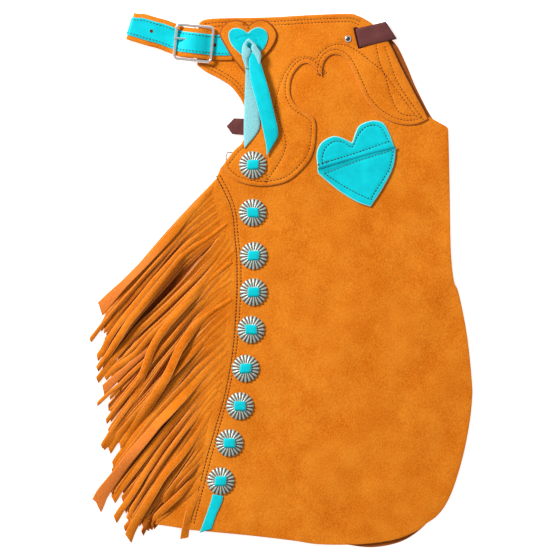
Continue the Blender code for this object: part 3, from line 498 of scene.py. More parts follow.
def stripMesh(stations, wall, cup=0.0, columns=6, closed=False, roundness=0.32, pared=None, side=1):
    across = [(-1.0 + 2.0 * i / columns) for i in range(columns + 1)]
    section = [(a, 0.5, 0) for a in across]
    section += [(1.0, roundness, 1), (1.0, -roundness, 1)]
    section += [(a, -0.5, 2) for a in reversed(across)]
    section += [(-1.0, -roundness, 1), (-1.0, roundness, 1)]
    points, faces, slots = [], [], []
    pared = wall * 0.16 if pared is None else pared
    for centre, sideways, up, width in stations:
        half = width / 2.0
        for a, h, kind in section:
            reach = a * (half - (0.0 if kind == 1 else pared if h > 0.0 else wall * 0.16))
            points.append(centre + sideways * reach + up * (h * wall + cup * (1.0 - a * a) * min(1.0,
                width / 8.0)))
    n = len(section)
    kinds = []
    for i in range(n):
        a, b = section[i][2], section[(i + 1) % n][2]
        kinds.append(side if a == b == 1 else 1 if 1 in (a, b) or a != b else a)
    rings = len(stations)
    for ring in range(rings if closed else rings - 1):
        here, there = ring * n, ((ring + 1) % rings) * n
        for i in range(n):
            j = (i + 1) % n
            faces.append((here + i, here + j, there + j, there + i))
            slots.append(kinds[i])
    if not closed:
        faces.append(tuple(reversed(range(n))))
        faces.append(tuple(range((rings - 1) * n, rings * n)))
        slots += [1, 1]
    return points, faces, slots, n


def strip(name, stations, wall, materials, **shape):
    points, faces, slots, _ = stripMesh(stations, wall, **shape)
    made = plainObject(name, points, faces, materials, slots)
    fixNormals(made)
    return made


def fixNormals(made):
    work = bmesh.new()
    work.from_mesh(made.data)
    bmesh.ops.recalc_face_normals(work, faces=work.faces)
    work.to_mesh(made.data)
    work.free()
    made.data.shade_smooth()


def stationsFrom(rows, step):
    # rows of left edge, right edge and height, smoothed and cut into even steps
    table = np.array([(r[0], r[1], r[2], r[3], r[4]) for r in rows], float)
    fine = []
    count = len(table)
    for i in range(count - 1):
        a, b = table[max(i - 1, 0)], table[i]
        c, d = table[i + 1], table[min(i + 2, count - 1)]
        for piece in range(8):
            t = piece / 8.0
            fine.append(0.5 * (2.0 * b + (c - a) * t + (2.0 * a - 5.0 * b + 4.0 * c - d) * t * t
                               + (3.0 * b - a - 3.0 * c + d) * t ** 3))
    fine.append(table[-1])
    fine = evenSteps(np.array(fine), step)
    stations = []
    for i, row in enumerate(fine):
        left, right = Vector((row[0], row[1], row[4])), Vector((row[2], row[3], row[4]))
        centre = (left + right) / 2.0
        side = (right - left)
        width = side.length
        side.normalize()
        ahead, behind = fine[min(i + 1, len(fine) - 1)], fine[max(i - 1, 0)]
        along = Vector(((ahead[0] + ahead[2] - behind[0] - behind[2]) / 2.0,
                        (ahead[1] + ahead[3] - behind[1] - behind[3]) / 2.0, ahead[4] - behind[4]))
        if along.length < 1e-6:
            along = Vector((-side.y, side.x, 0.0))
        up = side.cross(along.normalized())
        if up.z < 0:
            up = -up
        stations.append([centre, side, up.normalized(), width])
    return stations


# topstitching: one stitch after another along a guide line

def stitchTree():
    tree = bpy.data.node_groups.new("topstitch", "GeometryNodeTree")
    for label, kind in (("Guide", "NodeSocketGeometry"), ("Stitch spacing", "NodeSocketFloat"),
                        ("Stitch length", "NodeSocketFloat"), ("Thread width", "NodeSocketFloat"),
                        ("Thread", "NodeSocketMaterial"), ("Seed", "NodeSocketInt")):
        tree.interface.new_socket(label, in_out="INPUT", socket_type=kind)
    tree.interface.new_socket("Stitches", in_out="OUTPUT", socket_type="NodeSocketGeometry")
    given = addNode(tree, "NodeGroupInput").outputs
    line = addNode(tree, "GeometryNodeMeshToCurve", {"Mesh": given["Guide"]}).outputs[0]
    spots = addNode(tree, "GeometryNodeResampleCurve", {"Curve": line, "Length": given["Stitch spacing"]},
                    mode="LENGTH").outputs[0]
    along = addNode(tree, "GeometryNodeInputTangent").outputs[0]
    turn = addNode(tree, "FunctionNodeAxesToRotation", {0: along, 1: (0.0, 0.0, 1.0)},
                   primary_axis="X", secondary_axis="Z").outputs[0]
    size = addNode(tree, "ShaderNodeCombineXYZ", {0: given["Stitch length"], 1: given["Thread width"],
                                                  2: given["Thread width"]}).outputs[0]
    bead = addNode(tree, "GeometryNodeMeshUVSphere", {"Segments": 8, "Rings": 4, "Radius": 0.5}).outputs[0]
    bead = addNode(tree, "GeometryNodeTransform", {"Geometry": bead, "Scale": size}).outputs[0]
    uneven = addNode(tree, "FunctionNodeRandomValue", {2: 0.86, 3: 1.08, "Seed": given["Seed"]},
                     data_type="FLOAT").outputs[1]
    rows = addNode(tree, "GeometryNodeInstanceOnPoints",
        {"Points": spots, "Instance": bead, "Rotation": turn,
                                                          "Scale": uneven}).outputs[0]
    rows = addNode(tree, "GeometryNodeRealizeInstances", {"Geometry": rows}).outputs[0]
    rows = addNode(tree, "GeometryNodeSetShadeSmooth", {"Geometry": rows}).outputs[0]
    rows = addNode(tree, "GeometryNodeSetMaterial",
        {"Geometry": rows, "Material": given["Thread"]}).outputs[0]
    addNode(tree, "NodeGroupOutput", {0: rows})
    return tree


def runTree(made, tree, values):
    # sets the named inputs, then turns the modifier's result into a plain mesh
    modifier = made.modifiers.new(tree.name, "NODES")
    modifier.node_group = tree
    for item in tree.interface.items_tree:
        if item.in_out == "INPUT" and item.name in values:
            modifier[item.identifier] = values[item.name]
    bpy.context.view_layer.update()
    result = bpy.data.meshes.new_from_object(made.evaluated_get(bpy.context.evaluated_depsgraph_get()))
    made.modifiers.remove(modifier)
    made.data = result
    return made


sewing = {"spacing": 4.2, "length": 3.3, "width": 1.25}  # double the real thread, so that it shows
topstitch = stitchTree()


def lineObject(name, paths):
    points, edges = [], []
    for path in paths:
        start = len(points)
        points += [((x + originShift[0]) * mm, (y + originShift[1]) * mm, z * mm) for x, y, z in path]
        edges += [(start + i, start + i + 1) for i in range(len(path) - 1)]
    mesh = bpy.data.meshes.new(name)
    mesh.from_pydata(points, edges, [])
    made = bpy.data.objects.new(name, mesh)
    bpy.context.scene.collection.objects.link(made)
    return made


def sew(name, paths, heightOf=None, threadName="thread", sunk=0.22, spacing=None, seed=3):
    walks = []
    for path in paths:
        walk = evenSteps(np.array(path, float), 1.5)
        z = heightOf(walk[:, 0], walk[:, 1]) - sunk if heightOf else walk[:, 2]
        walks.append(np.column_stack((walk[:, :2], z)))
    return runTree(lineObject(name, walks), topstitch,
                   {"Stitch spacing": (spacing or sewing["spacing"]) * mm,
                       "Stitch length": sewing["length"] * mm,
                    "Thread width": sewing["width"] * mm, "Thread": finishes[threadName], "Seed": seed})


def finishPiece(made, nodes=()):
    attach(made, "root")
    if nodes:
        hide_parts(*nodes)


def cutSize(outline):  # width, length and flat area of a cut piece, in metres
    loop, area = turnLeft(smoothPath(outline, 3.0))
    width, length = (loop.max(0) - loop.min(0)) * mm
    return (float(width), float(length)), area * mm * mm


def stripCut(stations):  # widest, length and flat area of a strip, in metres
    widths = [station[3] for station in stations]
    steps = [(b[0] - a[0]).length for a, b in zip(stations, stations[1:])]
    area = sum(step * (u + v) / 2 for step, u, v in zip(steps, widths, widths[1:]))
    return (max(widths) * mm, sum(steps) * mm), area * mm * mm


# leg panels and yoke: outlines as (x, y) in millimetres, with the sharp corners marked

waistEdge = ((-104.6, 328, "corner"), (-89.3, 333.8), (-12.5, 335.6), (33.6, 338.2), (86, 339.9),
    (97.6, 337.7),
    (109.1, 332.4), (120, 324.2), (138.6, 302.4), (153.9, 271.6), (169.9, 241), (186.6, 210.2))
legFrontEdge = ((191, 207.6, "corner"), (213, 195.4, "corner"), (214.5, 192), (216.6, 106.5), (217.9, 37.4),
    (221.7, -1), (227.6, -16.4), (235.8, -54.8), (240.9, -89.3), (244.8, -130.3), (245.4, -149.5),
    (242.2, -181.5), (234.5, -222.4), (223, -262.1), (212.1, -287.1), (200, -303.1), (185.9, -313.3),
    (173.8, -322.6), (144.9, -333.8), (101.4, -339.4), (50.2, -339.6), (14.4, -334.6), (-48.4, -327.4))
sideSeam = ((-116.2, -321, "corner"), (-114.9, -310.8), (-97, -237.8), (-85.5, -196.8), (-71.4, -146.9),
    (-61.2, -89.3), (-56.6, -21.5), (-56.6, 24.6), (-58.6, 52.8), (-61.8, 84.8), (-70.1, 107.8),
    (-82.3, 130.2, "corner"))
hipEdge = ((-76.9, 142.6, "corner"), (-59.2, 165.4), (-48.4, 177), (-43.2, 203.8), (-47.7, 223),
    (-56, 237.1),
    (-66.3, 248.6), (-81.6, 258.2), (-96.4, 265.7), (-106.6, 274.2, "corner"), (-108.2, 300))
underLegEdge = ((-104.7, 325.4, "corner"), (-89.3, 331.2), (-12.5, 333.1), (86, 336.9), (98.5, 335),
    (121, 323),
    (146.2, 302.4), (160.3, 276.1), (173.7, 244.8), (194.3, 206.4), (211, 193.5, "corner"), (214, 106.5),
    (215.3, 37.4), (219.2, -2.3), (225.6, -17.6), (233.2, -54.8), (238.4, -89.3), (242.2, -130.3),
    (242.8, -149.5), (239.6, -181.5), (232, -222.4), (220.4, -260.8), (208.9, -286.4), (196.1, -303.1),
    (174.4, -324.2), (150, -337.6), (115.5, -343.4), (75.8, -339), (33.6, -335.1), (-22.8, -328),
    (-112, -318.4, "corner"), (-94, -237.8), (-68.4, -146.9), (-58.2, -89.3), (-53.6, -21.5),
    (-53.6, 24.6), (-58.8, 84.8), (-72, 120), (-73, 140), (-55, 166), (-45, 178), (-40.2, 203.8),
    (-44.7, 224), (-63.3, 251), (-103.6, 276, "corner"), (-105.2, 300))
yokeScallops = ((188.1, 204.3, "corner"), (175.6, 198.7), (159, 197.4), (141.1, 202), (123.2, 213.4),
    (109.1, 229.4),
    (100.1, 247.7), (88.6, 272.9), (79.6, 284.4), (68.1, 287.6), (59.2, 283.2), (54, 272.9),
    (53.1, 259.1, "corner"), (45.1, 269.1), (33.6, 276.2), (24.6, 272.9), (15.6, 261.4), (12.1, 247.7),
    (13.1, 234), (20, 222.5), (33.6, 213.4), (43.8, 204.3), (45.1, 185.9), (41.8, 162.8), (31.5, 144.9),
    (10.9, 126.5), (-12, 119.7), (-34.8, 119.7), (-57.7, 126.5), (-76.4, 143.2, "corner"))
seamRows = (((-82.2, 131.5), (-70.1, 107.8), (-61.8, 84.8), (-58.6, 52.8), (-56, 24.6), (-56, -21.4),
    (-61.1, -89.3),
    (-71.4, -146.9), (-85.4, -196.8), (-97, -237.8), (-114.9, -310.7)),
    ((-77.1, 132.2), (-65, 108.5), (-57.5, 84.8), (-54.5, 52.8), (-51.3, 24.6), (-51.6, -21.4),
    (-56.9, -89.3), (-67.3, -146.9), (-80.8, -197.4), (-91.8, -238.4), (-110.8, -311.5)))
yokeRows = {
    "upper": ((-7.4, 220.5), (-2.8, 243.5), (6.7, 266.6), (19.5, 281.9), (33.6, 284.5), (45.1, 281.9),
        (51.5, 290.9),
    (65.6, 299.2), (79.7, 300.4), (97.6, 292.2), (114.2, 279.4), (129.6, 266.6), (147.5, 243.5),
    (173.1, 209)),
    "fall": ((-7.4, 220.5), (-1, 200), (6.7, 174.4), (-1, 151.4), (-18.9, 124.5)),
    "upright": ((-17.6, 159), (-17.6, 124.5)),
    "frontOuter": ((121.9, 298.6), (127, 275.5), (134.7, 256.3), (143.7, 226.9), (155.2, 211.5),
        (174.4, 209)),
    "frontInner": ((133.4, 297.3), (147.5, 256.3), (164.2, 229.4), (182.1, 205.1)),
}
tieSlot = {"place": (98.8, 308.5), "size": (5.2, 26.8), "turn": 13.4}


def slotLoop(slot):
    (cx, cy), (width, height) = slot["place"], slot["size"]
    c, s = math.cos(math.radians(slot["turn"])), math.sin(math.radians(slot["turn"]))
    loop = []
    for ax, ay in ((-1, -1), (0, -1.04), (1, -1), (1, -0.5), (1, 0), (1, 0.5), (1, 1), (0, 1.04), (-1, 1),
                   (-1, 0.5), (-1, 0), (-1, -0.5)):
        x, y = ax * width / 2.0, ay * height / 2.0
        loop.append((cx + x * c - y * s, cy + x * s + y * c))
    return loop


topOutline = waistEdge + legFrontEdge + sideSeam + hipEdge
yokeOutline = waistEdge + yokeScallops + hipEdge[1:]
slotHole = [slotLoop(tieSlot)]
seamPaths = [smoothPath(row, 4.0, False) for row in seamRows]

# the under leg turns its flesh side up, in the dark 'inside' finish: its own colour with painted shade
underLeg, _ = cutPiece("under_leg_suede", underLegEdge, underLegBottom, 1.6,
    ("inside", "suedeEdge", "suede"),
                       6.0)  # its slot closes on the tie
size, area = cutSize(underLegEdge)
finishPiece(underLeg, ["under_leg"])
topLeg, _ = cutPiece("top_leg_suede", topOutline, topLegBottom, 1.6, ("suede", "suedeEdge", "inside"), 4.2,
                     holes=slotHole, seams=seamPaths)
size, area = cutSize(topOutline)
finishPiece(topLeg, ["top_leg"])
print("legs cut:", len(topLeg.data.polygons), "faces")

def along(outline, first, last, reach):
    # a line that runs inside a cut edge, between the edge's points nearest to two places
    edge, _ = turnLeft(smoothPath(outline, 3.0))
    line = inset(edge, reach)
    start = int(np.argmin(np.linalg.norm(edge - np.array(first), axis=1)))
    end = int(np.argmin(np.linalg.norm(edge - np.array(last), axis=1)))
    if end <= start:
        end += len(edge)
    return tidyLine(line[[i % len(edge) for i in range(start, end + 1)]])


def tidyLine(line):  # takes out the small loops that an inset makes at sharp corners
    kept = [line[0]]
    for i in range(1, len(line)):
        step = line[i] - kept[-1]
        if np.linalg.norm(step) < 1.2:
            continue
        if len(kept) > 1 and float(step @ (kept[-1] - kept[-2])) < 0.0 and np.linalg.norm(step) < 6.0:
            continue
        kept.append(line[i])
    return np.array(kept)


yokePaths = [along(yokeOutline, (103.0, 336.0), (-104.7, 328.0), 5.8),
             along(yokeOutline, (103.0, 336.0), (-104.7, 328.0), 10.4),
             along(yokeOutline, (-104.5, 281.0), (-70.0, 150.0), 5.4),
             along(yokeOutline, (-104.5, 281.0), (-45.0, 215.0), 9.8),
             along(yokeOutline, (-70.0, 138.0), (181.0, 201.0), 6.2)]
yokePaths += [smoothPath(row, 3.0, False) for row in yokeRows.values()]
yoke, _ = cutPiece("yoke_suede", yokeOutline, onTopLeg, 1.9, ("suede", "suedeEdge", "inside"), 4.2,
                   holes=slotHole, seams=yokePaths, profile=paredEdge)
size, area = cutSize(yokeOutline)
finishPiece(yoke, ["yoke"])

onLegTop = lambda x, y: topLegBottom(x, y) + 1.6
onYokeTop = lambda x, y: onTopLeg(x, y) + 1.6
seamStitches = sew("side_seam_stitches", seamPaths, onLegTop)
yokeStitches = sew("yoke_stitches", yokePaths, onYokeTop)
finishPiece(seamStitches)
finishPiece(yokeStitches)
print("yoke cut and stitched")


# heart patch over the belt's end, with its turquoise heart

patchHeart = ((-78.3, 312), (-76.1, 320.8), (-68.8, 328.3), (-57.3, 331.5), (-48.3, 329.8),
    (-41.2, 324.5, "corner"),
    (-34.2, 329.8), (-24.6, 332.4), (-13.8, 328), (-5.8, 317.8), (-4.8, 308.8), (-10.6, 296),
    (-22.7, 280.6), (-38.7, 255, "corner"), (-45.2, 262.5), (-54.8, 273.9), (-64.6, 287.3), (-73, 301.4))
trimHeart = ((-66.8, 310), (-65, 317.7), (-57.7, 321.2), (-49.6, 319.6), (-42, 314.8, "corner"),
    (-35.6, 320.3),
    (-27.2, 322.1), (-18.9, 317.7), (-16.4, 308.8), (-20.2, 297.2), (-29.2, 287),
    (-40.7, 276.8, "corner"), (-50.9, 287), (-62.4, 298.5))

patchRow = along(patchHeart, (-43.2, 323.6), (-46.0, 325.0), 3.4)
heartPatch, _ = cutPiece("heart_patch_suede", patchHeart, onBeltEnd, 2.2, ("suede", "burnished", "inside"),
    3.0,
                         6.0, seams=[patchRow], round_=1.7, edgeStep=2.0, profile=paredEdge)
size, area = cutSize(patchHeart)
finishPiece(heartPatch, ["heart_patch"])
onPatchTop = lambda x, y: onBeltEnd(x, y) + 2.2
creases = [smoothPath(row, 1.5,
    False) for row in (((-56, 306.9), (-48.3, 309.7), (-39.4, 310.6), (-30.4, 309.1)),
        ((-30.4, 306.2), (-25.9, 300.5), (-24.6, 293.4)))]
heartTrim, _ = cutPiece("heart_trim_leather", trimHeart, lambda x, y: onPatchTop(x, y) + 0.15, 1.2,
                        ("turquoise", "turquoiseEdge", "flesh"), 1.5, 4.0, seams=creases, round_=0.6,
                            edgeStep=2.0,
                        profile=paredEdge)
size, area = cutSize(trimHeart)
finishPiece(heartTrim, ["heart_trim"])
finishPiece(sew("heart_patch_stitches", [patchRow], onPatchTop))


# heart pocket: its back with two lobes, and the pouch in front

pocketHeart = ((45.6, 159), (48.2, 169.2), (54.9, 177.4), (67.7, 183.3), (79.6, 180.8),
    (91.2, 175, "corner"),
    (98.1, 193.6), (105.9, 200), (118.7, 203.4), (131.4, 200), (139.2, 187.2), (145, 171.5, "corner"),
    (144.6, 148.1), (136.4, 127), (116.4, 95, "corner"), (109.1, 95, "corner"), (83.5, 107.8),
    (59.2, 126.5), (48.6, 136.3), (47.2, 142.2, "corner"))
pocketFront = ((46.8, 141.6, "corner"), (75.8, 150.3), (114.2, 161.6), (147.3, 169.8, "corner"),
    (146.8, 159),
    (145.2, 148.2), (141.6, 137.3), (136.4, 126.7), (127, 110.4), (115, 92.7, "corner"), (98.9, 98.2),
    (83.1, 107.1), (69.4, 116.8), (58.6, 125.8), (52, 131.4), (47.2, 136, "corner"))
pocketRows = {
    "lobes": ((53.4, 148.8), (52.8, 155.8), (56.6, 166.7), (64.3, 174.4), (72.6, 177), (81, 175),
        (91.2, 169.3),
    (96.3, 179.5), (102.7, 189.8), (110.4, 195.5), (119.4, 197.4), (128.3, 194.2), (133.4, 185.9),
    (137.9, 176.3)),
    "aboveOpening": ((52.8, 148.8), (82.2, 157.1), (137.9, 176.1)),
    "belowOpening": ((56.6, 135.4), (95, 150.1), (141.1, 164.8)),
    "pouch": ((56.6, 135.4), (64.3, 129.6), (84.8, 116.8), (113.6, 102.7), (117.4, 106.6), (132.2, 129.6),
    (139.2, 142.4), (143.7, 162.9)),
}
pocketBackRows = [smoothPath(pocketRows[k], 3.0, False) for k in ("lobes", "aboveOpening")]
pouchRows = [np.array(pocketRows["belowOpening"]), smoothPath(pocketRows["pouch"], 3.0, False)]
pocketBack, _ = cutPiece("pocket_back_leather", pocketHeart, onTopLeg, 1.1,
    ("turquoise", "turquoiseEdge", "flesh"),
                         3.0, 8.0, seams=pocketBackRows, edgeStep=2.0, profile=paredEdge)
size, area = cutSize(pocketHeart)
finishPiece(pocketBack, ["pocket_back"])


def pouchBottom(x, y):  # the mouth gapes a little, and its folded lip lies proud
    lip = (y - 141.6) * math.cos(math.radians(15.5)) - (x - 46.8) * math.sin(math.radians(15.5))
    return onTopLeg(x, y) + 1.3 + 1.1 * np.exp(-(lip / 3.4) ** 2)


pouch, _ = cutPiece("pocket_front_leather", pocketFront, pouchBottom, 1.1,
    ("turquoise", "turquoiseEdge", "flesh"),
                    3.0, 8.0, seams=pouchRows, edgeStep=2.0, profile=paredEdge)
# a dark turquoise strip along the pouch's top edge stands for the shade inside the pocket's mouth: painted shade
lipPath = smoothPath(((47.3, 141.2), (75.8, 149.8), (114.2, 161), (147.1, 169.3)), 3.0, False)
lipZ = pouchBottom(lipPath[:, 0], lipPath[:, 1]) + 1.05
lipWay = []
for i, (x, y) in enumerate(lipPath):
    ahead = Vector(lipPath[min(i + 1, len(lipPath) - 1)] - lipPath[max(i - 1, 0)]).normalized()
    side = Vector((ahead.y, -ahead.x, 0.0))
    lipWay.append([Vector((x, y, lipZ[i])), side, Vector((0.0, 0.0, 1.0)), 2.5])
pocketLip = strip("pocket_lip_painted_shade", lipWay, 0.6, ("paintedMouthShade", "paintedMouthShade", "flesh"), cup=0.25)
finishPiece(pocketLip)
size, area = cutSize(pocketFront)
finishPiece(pouch, ["pocket_front"])
finishPiece(sew("pocket_back_stitches", pocketBackRows, lambda x, y: onTopLeg(x, y) + 1.1))
tackRows = [np.array(row) for row in (((48.4, 147.3), (58.4, 150.2)), ((48.8, 145.9), (58.9, 148.8)))]
finishPiece(sew("pocket_tack_stitches", tackRows, lambda x, y: onTopLeg(x, y) + 1.1))
pouchTop = lambda x, y: pouchBottom(x, y) + 1.1
finishPiece(sew("pocket_front_stitches", pouchRows[1:], pouchTop))
finishPiece(sew("pocket_mouth_stitches", pouchRows[:1], pouchTop, "greyThread"))
print("hearts and pocket done")


# belt: suede strap folded on itself at the left, its inlay, and the holes

beltRun = ((-190, 325, 6.2), (-180, 321.9, 6.6), (-167.4, 317.9, 6.3), (-152, 313.8, 5.6),
    (-140, 309.2, 5.3),
    (-134, 306.9, 5.4), (-130.5, 305.2, 6.6), (-126, 303.8, 10.2), (-121, 303, 13), (-111, 301.8, 14.7),
    (-100, 300.7, 13.1), (-92, 300, 9.6), (-86, 299.5, 8.5), (-74, 299.2, 8.3), (-62, 299.4, 8.3))
beltLook = {"width": 38.0, "inlay": 26.5, "gap": 0.3, "lowerZ": 2.4, "lowerEnd": -111.0}


def beltStations(width, offset):
    path = [Vector(row) for row in reversed(beltRun)]
    lowerZ = beltLook["lowerZ"]
    radius = (path[-1].z - lowerZ) / 2.0
    outward = (path[-1] - path[-2]).xy.normalized()
    middle = Vector((path[-1].x, path[-1].y, lowerZ + radius))
    for step in range(1, 10):
        angle = math.pi * step / 10.0
        reach = outward * math.sin(angle) * radius
        path.append(Vector((middle.x + reach.x, middle.y + reach.y, middle.z + math.cos(angle) * radius)))
    path += [Vector((x, y, lowerZ)) for x, y, _ in beltRun if x <= beltLook["lowerEnd"]]
    fine = []
    for i in range(len(path) - 1):
        a, b, c, d = path[max(i - 1, 0)], path[i], path[i + 1], path[min(i + 2, len(path) - 1)]
        count = max(1, round((c - b).length / 2.0))
        for k in range(count):
            t = k / count
            fine.append(0.5 * (2.0 * b + (c - a) * t + (2.0 * a - 5.0 * b + 4.0 * c - d) * t * t
                               + (3.0 * b - a - 3.0 * c + d) * t ** 3))
    fine.append(path[-1])
    stations = []
    run = Vector((beltRun[2][0] - beltRun[0][0], beltRun[2][1] - beltRun[0][1], 0.0))
    for i, point in enumerate(fine):
        tangent = (fine[min(i + 1, len(fine) - 1)] - fine[max(i - 1, 0)]).normalized()
        flat = Vector((tangent.x, tangent.y, 0.0)) if tangent.xy.length > 0.35 else run.copy()
        if flat.x < 0.0:
            flat = -flat
        side = Vector((-flat.y, flat.x, 0.0)).normalized()
        out = side.cross(tangent).normalized()
        fold = math.exp(-((point.x - beltRun[0][0]) / 7.0) ** 2)  # the corners of the folded end are rounded off
        stations.append([point + out * offset - side * fold * 1.6, side, out, width - fold * 2.6])
    return stations


beltWay = beltStations(beltLook["width"], 0.0)
belt = strip("belt_suede", beltWay, 1.6, ("suede", "suedeEdge", "inside"), columns=12)
inlayOffset = 1.3 + beltLook["gap"]
inlayWay = beltStations(beltLook["inlay"], inlayOffset)
inlay = strip("belt_inlay_leather", inlayWay, 1.0, ("turquoise", "turquoiseEdge", "flesh"), columns=10)
finishPiece(belt, ["belt_strap"])
finishPiece(inlay, ["belt_inlay"])
beltRows = [[tuple(c + s * (w / 2.0 - 3.0) * way + u * 0.42) for c, s, u, w in inlayWay] for way in (1, -1)]
finishPiece(sew("belt_stitches", beltRows))


# wires: buckles and their tongue

def wire(name, spots, radius, material, closed=True, bevel=5):
    curve = bpy.data.curves.new(name, "CURVE")
    curve.dimensions = "3D"
    curve.bevel_depth = radius * mm
    curve.bevel_resolution = bevel
    curve.use_fill_caps = not closed
    spline = curve.splines.new("POLY")
    spline.points.add(len(spots) - 1)
    for target, spot in zip(spline.points, spots):
        target.co = ((spot[0] + originShift[0]) * mm, (spot[1] + originShift[1]) * mm, spot[2] * mm, 1.0)
    spline.use_cyclic_u = closed
    bent = bpy.data.objects.new(name + "_bent", curve)
    bpy.context.scene.collection.objects.link(bent)
    bpy.context.view_layer.update()
    mesh = bpy.data.meshes.new_from_object(bent.evaluated_get(bpy.context.evaluated_depsgraph_get()))
    mesh.materials.clear()
    mesh.materials.append(finishes[material])
    mesh.shade_smooth()
    made = bpy.data.objects.new(name, mesh)
    bpy.context.scene.collection.objects.link(made)
    bpy.data.objects.remove(bent, do_unlink=True)
    return made


def roundedCorners(corners, radius, steps=8):
    spots = []
    for i, corner in enumerate(corners):
        before = (corners[i - 1] - corner).normalized() * radius
        after = (corners[(i + 1) % len(corners)] - corner).normalized() * radius
        for step in range(steps + 1):
            t = step / steps
            spots.append((corner + before) * (1 - t) ** 2 + corner * 2 * t * (1 - t) + (corner + after) * t * t)
    return spots


buckle = {"width": 51.0, "height": 48.0, "wire": 1.9, "centre": (-111.1, 301.8), "turn": -5.5,
    "z": (11.2, 13.2),
          "corner": 5.5, "tongueWire": 1.15, "tongueSide": 4.2, "tongueZ": (12.4, 14.9)}


def makeBuckle():
    turn = math.radians(buckle["turn"])
    c, s = math.cos(turn), math.sin(turn)
    halfWidth = buckle["width"] / 2.0 - buckle["wire"]
    halfHeight = buckle["height"] / 2.0 - buckle["wire"]
    middleZ = sum(buckle["z"]) / 2.0
    tilt = (buckle["z"][1] - buckle["z"][0]) / 2.0

    def at(x, y, z):
        return Vector((buckle["centre"][0] + x * c - y * s, buckle["centre"][1] + x * s + y * c, z))

    corners = [at(sx * halfWidth, sy * halfHeight, middleZ + sx * tilt) for sx,
        sy in ((-1, 1), (-1, -1), (1, -1), (1, 1))]
    loop = wire("buckle_frame_plated", roundedCorners(corners, buckle["corner"]), buckle["wire"], "nickel")
    finishPiece(loop, ["buckle_frame"])
    reach = halfHeight - buckle["wire"] - 0.3
    bar = wire("buckle_bar_plated", [at(0, reach, middleZ), at(0, -reach, middleZ)], 1.3, "nickel", False)
    finishPiece(bar, ["buckle_bar"])
    rootZ, tipZ = buckle["tongueZ"]
    spots = [at(-2.4, buckle["tongueSide"], rootZ),
        at(-halfWidth * 0.55, buckle["tongueSide"], (rootZ + tipZ) / 2.0 + 0.6),
             at(-halfWidth * 0.86, buckle["tongueSide"], tipZ + 0.1),
                 at(-halfWidth - 2.4, buckle["tongueSide"], tipZ - 0.2)]
    finishPiece(wire("buckle_tongue_plated", spots, buckle["tongueWire"], "nickel", False),
        ["buckle_tongue"])
    tab = [(x, 315.3, x, 285.3, z) for x, z in ((-63.0, 6.5), (-86.0, 6.5), (-98.0, 8.0), (-107.9, 9.0),
                                                (-111.7, 9.5), (-114.1, 10.9))]
    tabPiece = strip("buckle_tab_suede", stationsFrom(tab, 2.5), 1.2, ("suede", "suedeEdge", "inside"))
    finishPiece(tabPiece, ["buckle_tab"])


makeBuckle()


# punched holes in the belt: a sunk disc with a torn brown rim, coloured dark brown for the shade in the well:
# painted shade
def disc(name, spots, radius, material):
    points, faces, slots = [], [], []
    for x, y, z, normal in spots:
        start = len(points)
        side = normal.cross(Vector((0.0, 1.0, 0.0))).normalized()
        other = normal.cross(side)
        for share, lift in ((1.15, 0.02), (0.95, 0.16), (0.62, -0.05), (0.5, -0.4)):
            for k in range(16):
                angle = math.tau * k / 16
                p = Vector((x, y, z)) + (side * math.cos(angle) + other * math.sin(angle)) * radius * share + normal * lift
                points.append(tuple(p))
        for ring in range(3):
            for k in range(16):
                a, b = start + ring * 16 + k, start + ring * 16 + (k + 1) % 16
                faces.append((a, b, b + 16, a + 16))
        faces.append(tuple(start + 48 + k for k in range(16)))
        faces.append(tuple(start + k for k in reversed(range(16))))
    made = plainObject(name, points, faces, (material,))
    fixNormals(made)
    return made


def onInlay(x):
    best = min((s for s in inlayWay if s[2].z > 0.3), key=lambda s: abs(s[0].x - x))
    spot = best[0] + best[2] * 0.5
    return (spot.x, spot.y, spot.z, best[2])


holes = disc("belt_holes", [onInlay(-166.1), onInlay(-83.4)], 2.0, "hole")
finishPiece(holes)
print("belt, buckle and holes done")


# laces: two tails from a knot on the heart, and the end below the last concho

# rows of left edge, right edge and height
laceLeft = ((-48.1, 284.5, -41.2, 284.5, 14.2), (-46.3, 275.5, -41.2, 275.5, 13.9),
    (-45, 267.8, -39.4, 267.8, 12.6), (-45.4, 255, -36, 255, 10.3), (-46, 239.7, -32.2, 241, 9.7),
    (-46.7, 221.8, -27.3, 224.3, 9.9), (-47.2, 203.8, -26.7, 207.7, 10),
    (-47.3, 183.4, -28.1, 190.5, 10.1), (-46.4, 167.5, -44.2, 169.8, 10.1))
laceRight = ((-39.9, 289, -29.9, 292.2, 14.9), (-40.8, 280.6, -27.1, 282.7, 15),
    (-40.8, 271.7, -24.8, 274.2, 15.4),
    (-39.1, 256.3, -20.2, 258.9, 16.2), (-35, 239.7, -15.4, 242.2, 17), (-30.1, 221.8, -11.2, 225, 17.4),
    (-26, 205.1, -7.5, 209, 16.8), (-22.3, 188.5, -4, 193.6, 15.4), (-18.6, 169.3, -4, 181.6, 13.4),
    (-18.1, 157.8, -15.6, 162.1, 12.4))
knotLeft = ((-42.4, 307, -39.6, 304.4, 16.7), (-45.9, 302.9, -42.7, 301.4, 16.6),
    (-48.6, 298.3, -42.7, 297.3, 16.4), (-49.6, 293.4, -38.3, 292.7, 16.2),
    (-49.9, 287, -39.1, 286.5, 15.9), (-48.8, 281.3, -42.2, 280.4, 15.4),
    (-46.3, 274.2, -41.7, 273.7, 14.9), (-45.1, 269.1, -40.6, 269.1, 14))
knotRight = ((-42.7, 305, -40.9, 307.6, 17.1), (-39.9, 302.7, -36.3, 304.2, 17.3),
    (-36.9, 299.6, -31.7, 300, 17.2),
    (-37.7, 295.5, -29.4, 295.6, 17), (-36.3, 290.6, -26.6, 291.4, 16.7),
    (-32.4, 285, -24.9, 285.8, 16.5), (-29.9, 279.6, -25.3, 279.6, 16), (-28.4, 273.7, -26.3, 274, 15.2))
